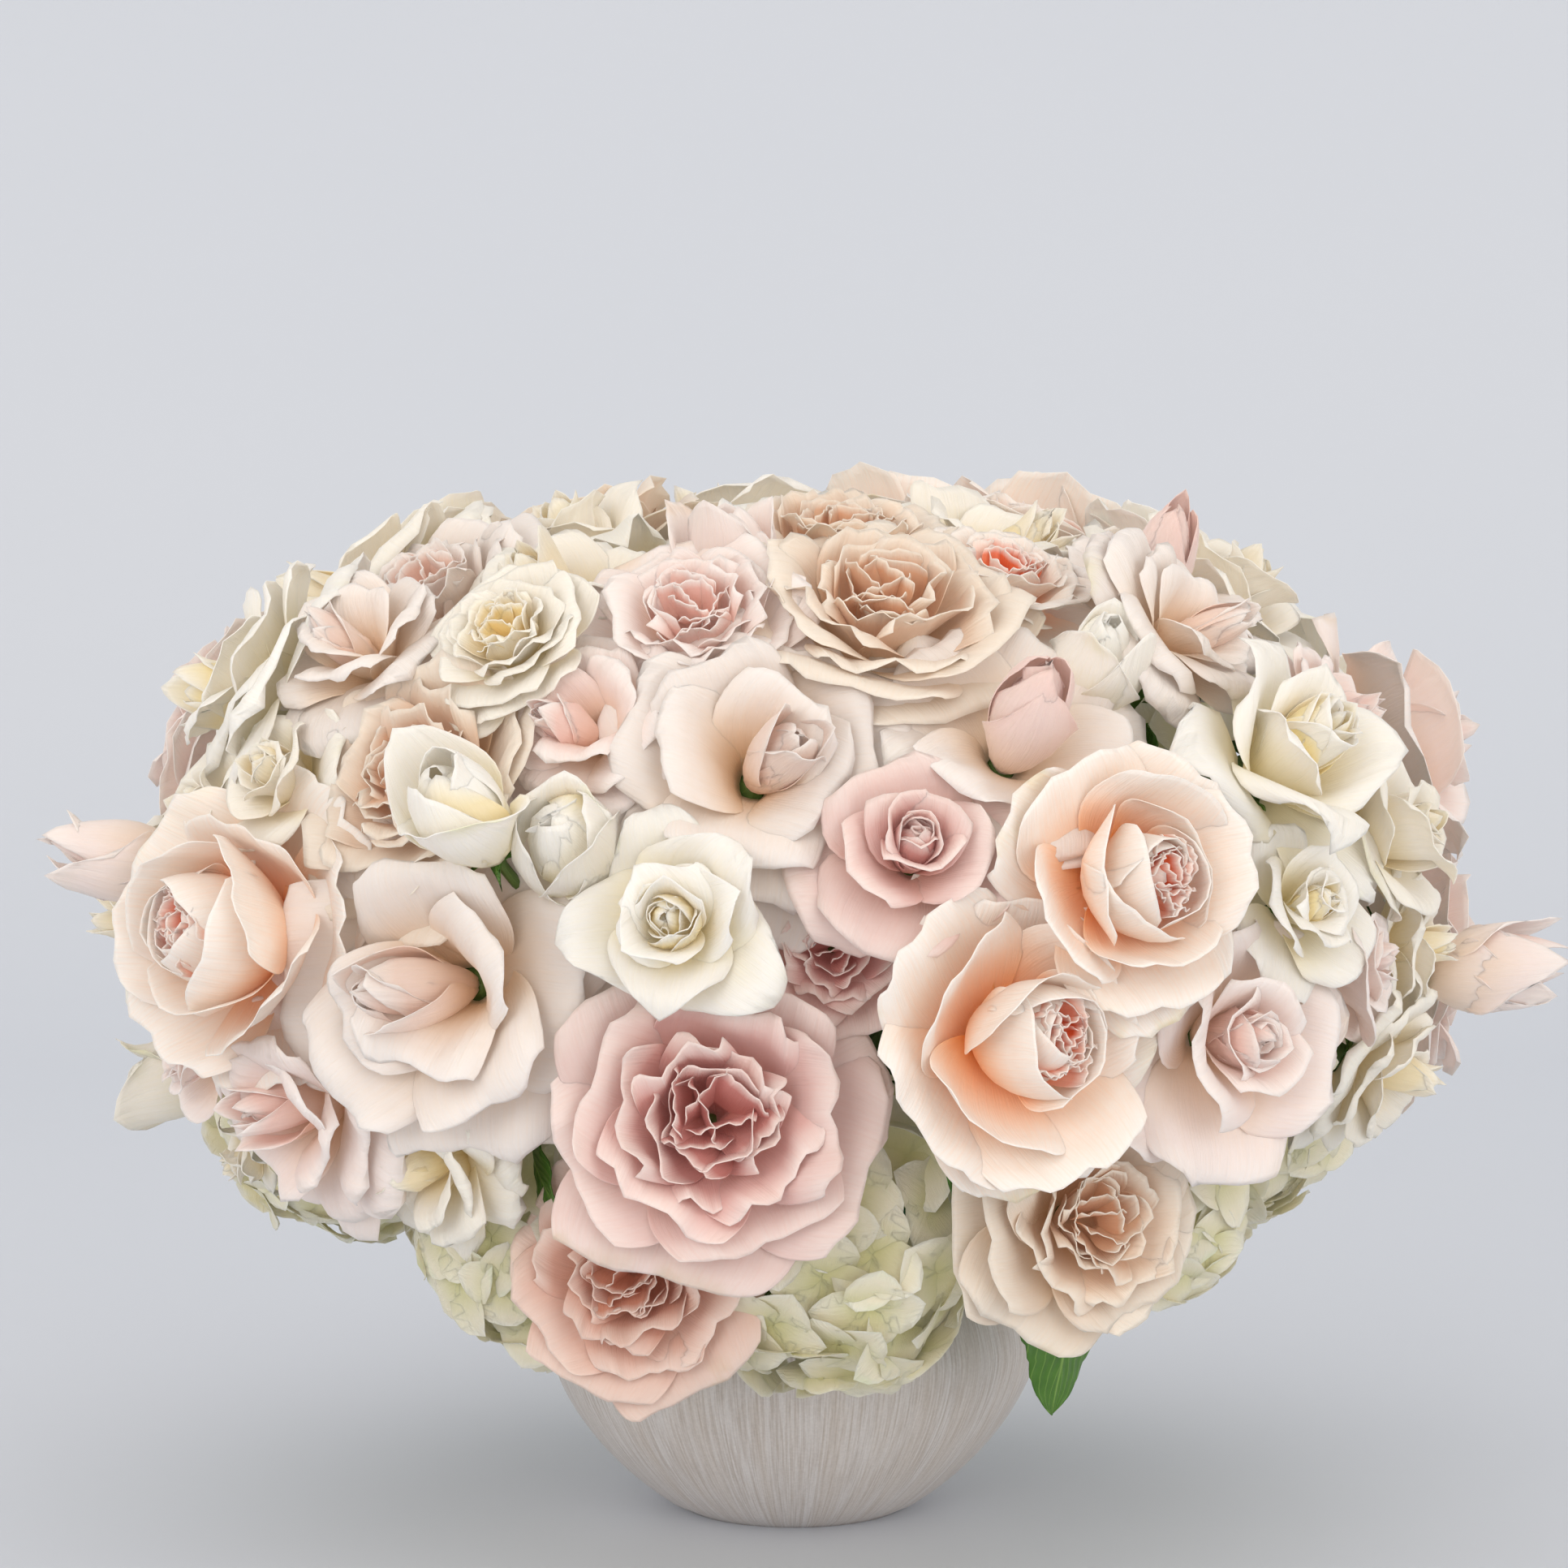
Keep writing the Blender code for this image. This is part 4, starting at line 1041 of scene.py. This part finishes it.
def makeBowl(material):
    lip = bowl["wall"] / 2
    top = bowl["rim"] - lip
    outline = [(bowlOutline(0) - bowl["footRound"], 0)]
    outline += [(bowlOutline(top * k / bowl["rows"]) - (bowl["footRound"] * 0.3 if k == 0 else 0),
                 max(bowl["footRound"] * 0.5, top * k / bowl["rows"])) for k in range(bowl["rows"] + 1)]
    middle = bowlOutline(top) - lip
    outline += [(middle + lip * math.cos(math.radians(a)), top + lip * math.sin(math.radians(a)))
                for a in range(20, 180, 20)]
    outline += [(bowlOutline(h) - bowl["wall"], h)
                for h in np.linspace(top, bowl["floor"], bowl["rows"] // 2)]
    bpy.ops.object.select_all(action="DESELECT")
    bpy.ops.mesh.primitive_circle_add(vertices=bowl["corners"], radius=outline[0][0], fill_type="NGON")
    piece = bpy.context.object
    bpy.ops.object.mode_set(mode="EDIT")
    bpy.ops.mesh.select_all(action="SELECT")
    for (r0, z0), (r1, z1) in zip(outline, outline[1:]):
        bpy.ops.mesh.extrude_region_move(TRANSFORM_OT_translate={"value": (0, 0, z1 - z0)})
        bpy.ops.transform.resize(value=(r1 / r0, r1 / r0, 1), center_override=(0, 0, z1))
    bpy.ops.mesh.select_all(action="SELECT")
    bpy.ops.mesh.normals_make_consistent(inside=False)
    bpy.ops.object.mode_set(mode="OBJECT")
    bpy.ops.object.shade_smooth_by_angle(angle=math.radians(50))
    piece.name = "glazed_bowl"
    piece.data.materials.append(material)
    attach(piece, "root")
    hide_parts("bowl")


# Matt stoneware glaze, combed upright while wet: fine pale and sandy streaks, each a little ridge, both
# painted darker as shade from the bouquet.
def combedGlaze():
    material, tree, shader = newMaterial("stonewareGlaze_combed", {"Roughness": 0.42, "IOR": 1.5,
                                                                  "Specular IOR Level": 0.6})
    place = addNode(tree, "ShaderNodeTexCoord")
    level = addNode(tree, "ShaderNodeVectorMath", {"operation": "MULTIPLY", 1: (1, 1, 0)},
                    {0: place.outputs["Object"]})
    around = addNode(tree, "ShaderNodeVectorMath", {"operation": "NORMALIZE"}, {0: level})
    rise = addNode(tree, "ShaderNodeVectorMath", {"operation": "MULTIPLY", 1: (0, 0, 0.45)},
                   {0: place.outputs["Object"]})
    # Round the bowl the noise is read on a circle of radius 1, so its scale sets streaks 0.9 mm apart.
    combed = addNode(tree, "ShaderNodeVectorMath", {"operation": "ADD"}, {0: around, 1: rise})
    fine = addNode(tree, "ShaderNodeTexNoise", {"Scale": 105.0, "Detail": 3.0, "Roughness": 0.6}, {0: combed})
    broad = addNode(tree, "ShaderNodeTexNoise", {"Scale": 9.0, "Detail": 2.0}, {0: combed})
    speck = addNode(tree, "ShaderNodeTexNoise", {"Scale": 900.0, "Detail": 2.0}, {0: place.outputs["Object"]})
    sand = addNode(tree, "ShaderNodeMapRange", {1: 0.40, 2: 0.66, 3: 0.0, 4: 1.0}, {0: fine})
    # Painted shade: both streak colours are darker than the glaze's own, for the bouquet's shadow over the
    # bowl.
    streaked = addNode(tree, "ShaderNodeMix",
                       {"data_type": "RGBA", 6: toLinear("#DDD8D5"), 7: toLinear("#C3B9B1")}, {0: sand})
    warm = addNode(tree, "ShaderNodeMapRange", {1: 0.42, 2: 0.62, 3: 0.0, 4: 0.25}, {0: broad})
    warmed = addNode(tree, "ShaderNodeMix", {"data_type": "RGBA", 7: toLinear("#CBBDAF")},
                     {0: warm, 6: streaked.outputs[2]})
    grain = addNode(tree, "ShaderNodeMapRange", {1: 0.3, 2: 0.7, 3: 0.94, 4: 1.04}, {0: speck})
    toned = addNode(tree, "ShaderNodeHueSaturation", links={"Color": warmed.outputs[2], "Value": grain})
    tree.links.new(toned.outputs[0], shader.inputs["Base Color"])
    bump = addNode(tree, "ShaderNodeBump", {"Strength": 0.5, "Distance": 0.35 * mm}, {"Height": fine})
    tree.links.new(bump.outputs[0], shader.inputs["Normal"])
    return material


makeBowl(combedGlaze())


# Wet floral foam: dark green open cells.
def wetFoam():
    material, tree, shader = newMaterial("floralFoam_wet", {"Roughness": 0.9, "IOR": 1.33})
    place = addNode(tree, "ShaderNodeTexCoord")
    cells = addNode(tree, "ShaderNodeTexVoronoi", {"Scale": 900.0}, {0: place.outputs["Object"]})
    patches = addNode(tree, "ShaderNodeTexNoise", {"Scale": 60.0, "Detail": 4.0},
                      {0: place.outputs["Object"]})
    tint = addNode(tree, "ShaderNodeMix",
                   {"data_type": "RGBA", 6: toLinear("#2E5A3C"), 7: toLinear("#4B7A55")}, {0: patches})
    tree.links.new(tint.outputs[2], shader.inputs["Base Color"])
    bump = addNode(tree, "ShaderNodeBump", {"Strength": 0.6, "Distance": 0.5 * mm}, {"Height": cells})
    tree.links.new(bump.outputs[0], shader.inputs["Normal"])
    return material


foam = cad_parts["floral_foam"]
foam.data.materials[0] = wetFoam()
print("bowl and foam made")

# A plain studio, in metres: pale paper that runs up into a backdrop, soft light from nearly all round, and
# two large weak lamps in front, the stronger one at the left.
studio = {
    "width": 8, "depth": 5, "forward": -1.3, "bends": 10, "bendStep": 0.18, "wall": 4, "paper": "#D3D9E2",
    "cloud": "#D7DCE4", "world": "#FDF8F3", "worldStrength": 1.03, "lamp": "#FFFCFB", "aim": (0, 0, 0.25),
    "key": {"place": (-1.0, -2.4, 1.1), "size": 1.4, "power": 12},
    "fill": {"place": (1.3, -2.3, 0.7), "size": 1.6, "power": 9},
}


# Dyed paper, matt: plain, with a hardly visible cloudiness.
def mattPaper():
    material, tree, shader = newMaterial("studioPaper_matt", {"Roughness": 0.55})
    place = addNode(tree, "ShaderNodeTexCoord")
    cloud = addNode(tree, "ShaderNodeTexNoise", {"Scale": 1.5, "Detail": 2.0}, {0: place.outputs["Object"]})
    tint = addNode(tree, "ShaderNodeMix", {"data_type": "RGBA", 6: toLinear(studio["paper"]),
                                           7: toLinear(studio["cloud"])}, {0: cloud})
    tree.links.new(tint.outputs[2], shader.inputs["Base Color"])
    return material


def makeFloor(material):
    bpy.ops.object.select_all(action="DESELECT")
    bpy.ops.mesh.primitive_plane_add(size=1)
    floor = bpy.context.object
    floor.name = "studio_floor"
    bpy.ops.object.mode_set(mode="EDIT")
    bpy.ops.transform.resize(value=(studio["width"], studio["depth"], 1))
    bpy.ops.transform.translate(value=(0, studio["forward"], 0))
    bpy.ops.mesh.select_all(action="DESELECT")
    bpy.ops.object.mode_set(mode="OBJECT")
    # Only the back edge is drawn on, in a quarter turn and then straight up.
    for edge in floor.data.edges:
        edge.select = all(floor.data.vertices[i].co.y > 0 for i in edge.vertices)
    bpy.ops.object.mode_set(mode="EDIT")
    bpy.ops.mesh.select_mode(type="EDGE")
    for k in range(studio["bends"]):
        a = math.pi / 2 * (k + 0.5) / studio["bends"]
        step = (0, studio["bendStep"] * math.cos(a), studio["bendStep"] * math.sin(a))
        bpy.ops.mesh.extrude_region_move(TRANSFORM_OT_translate={"value": step})
    bpy.ops.mesh.extrude_region_move(TRANSFORM_OT_translate={"value": (0, 0, studio["wall"])})
    bpy.ops.object.mode_set(mode="OBJECT")
    bpy.ops.object.shade_smooth()
    floor.data.materials.append(material)


def areaLight(name, lamp):
    data = bpy.data.lights.new(name, "AREA")
    data.shape = "DISK"
    data.size = lamp["size"]
    data.energy = lamp["power"]
    data.color = toLinear(studio["lamp"])[:3]
    light = bpy.data.objects.new(name, data)
    bpy.context.collection.objects.link(light)
    light.location = lamp["place"]
    light.rotation_euler = (Vector(studio["aim"]) - Vector(lamp["place"])).to_track_quat("-Z", "Y").to_euler()


def makeWorld():
    world = bpy.data.worlds.new("studio")
    world.use_nodes = True
    background = world.node_tree.nodes["Background"]
    background.inputs["Color"].default_value = toLinear(studio["world"])
    background.inputs["Strength"].default_value = studio["worldStrength"]
    bpy.context.scene.world = world


# The eye looks a little down from 1.7 m in front of the bowl, through a long lens.
view = {"place": (-3.8 * mm, -1702 * mm, 408 * mm), "tilt": 85.6, "lens": 103, "sensor": 36}


def makeCamera():
    camera = bpy.data.cameras.new("camera")
    camera.lens = view["lens"]
    camera.sensor_width = view["sensor"]
    eye = bpy.data.objects.new("camera", camera)
    bpy.context.collection.objects.link(eye)
    eye.location = view["place"]
    eye.rotation_euler = (math.radians(view["tilt"]), 0, 0)
    bpy.context.scene.camera = eye
    bpy.context.scene.view_settings.view_transform = "Standard"


makeFloor(mattPaper())
areaLight("key_light", studio["key"])
areaLight("fill_light", studio["fill"])
makeWorld()
makeCamera()
print("studio made")

shown = [thing for thing in bpy.data.objects if thing.type == "MESH" and not thing.hide_render]
print("triangles:", sum(sum(len(face.vertices) - 2 for face in thing.data.polygons) for thing in shown))
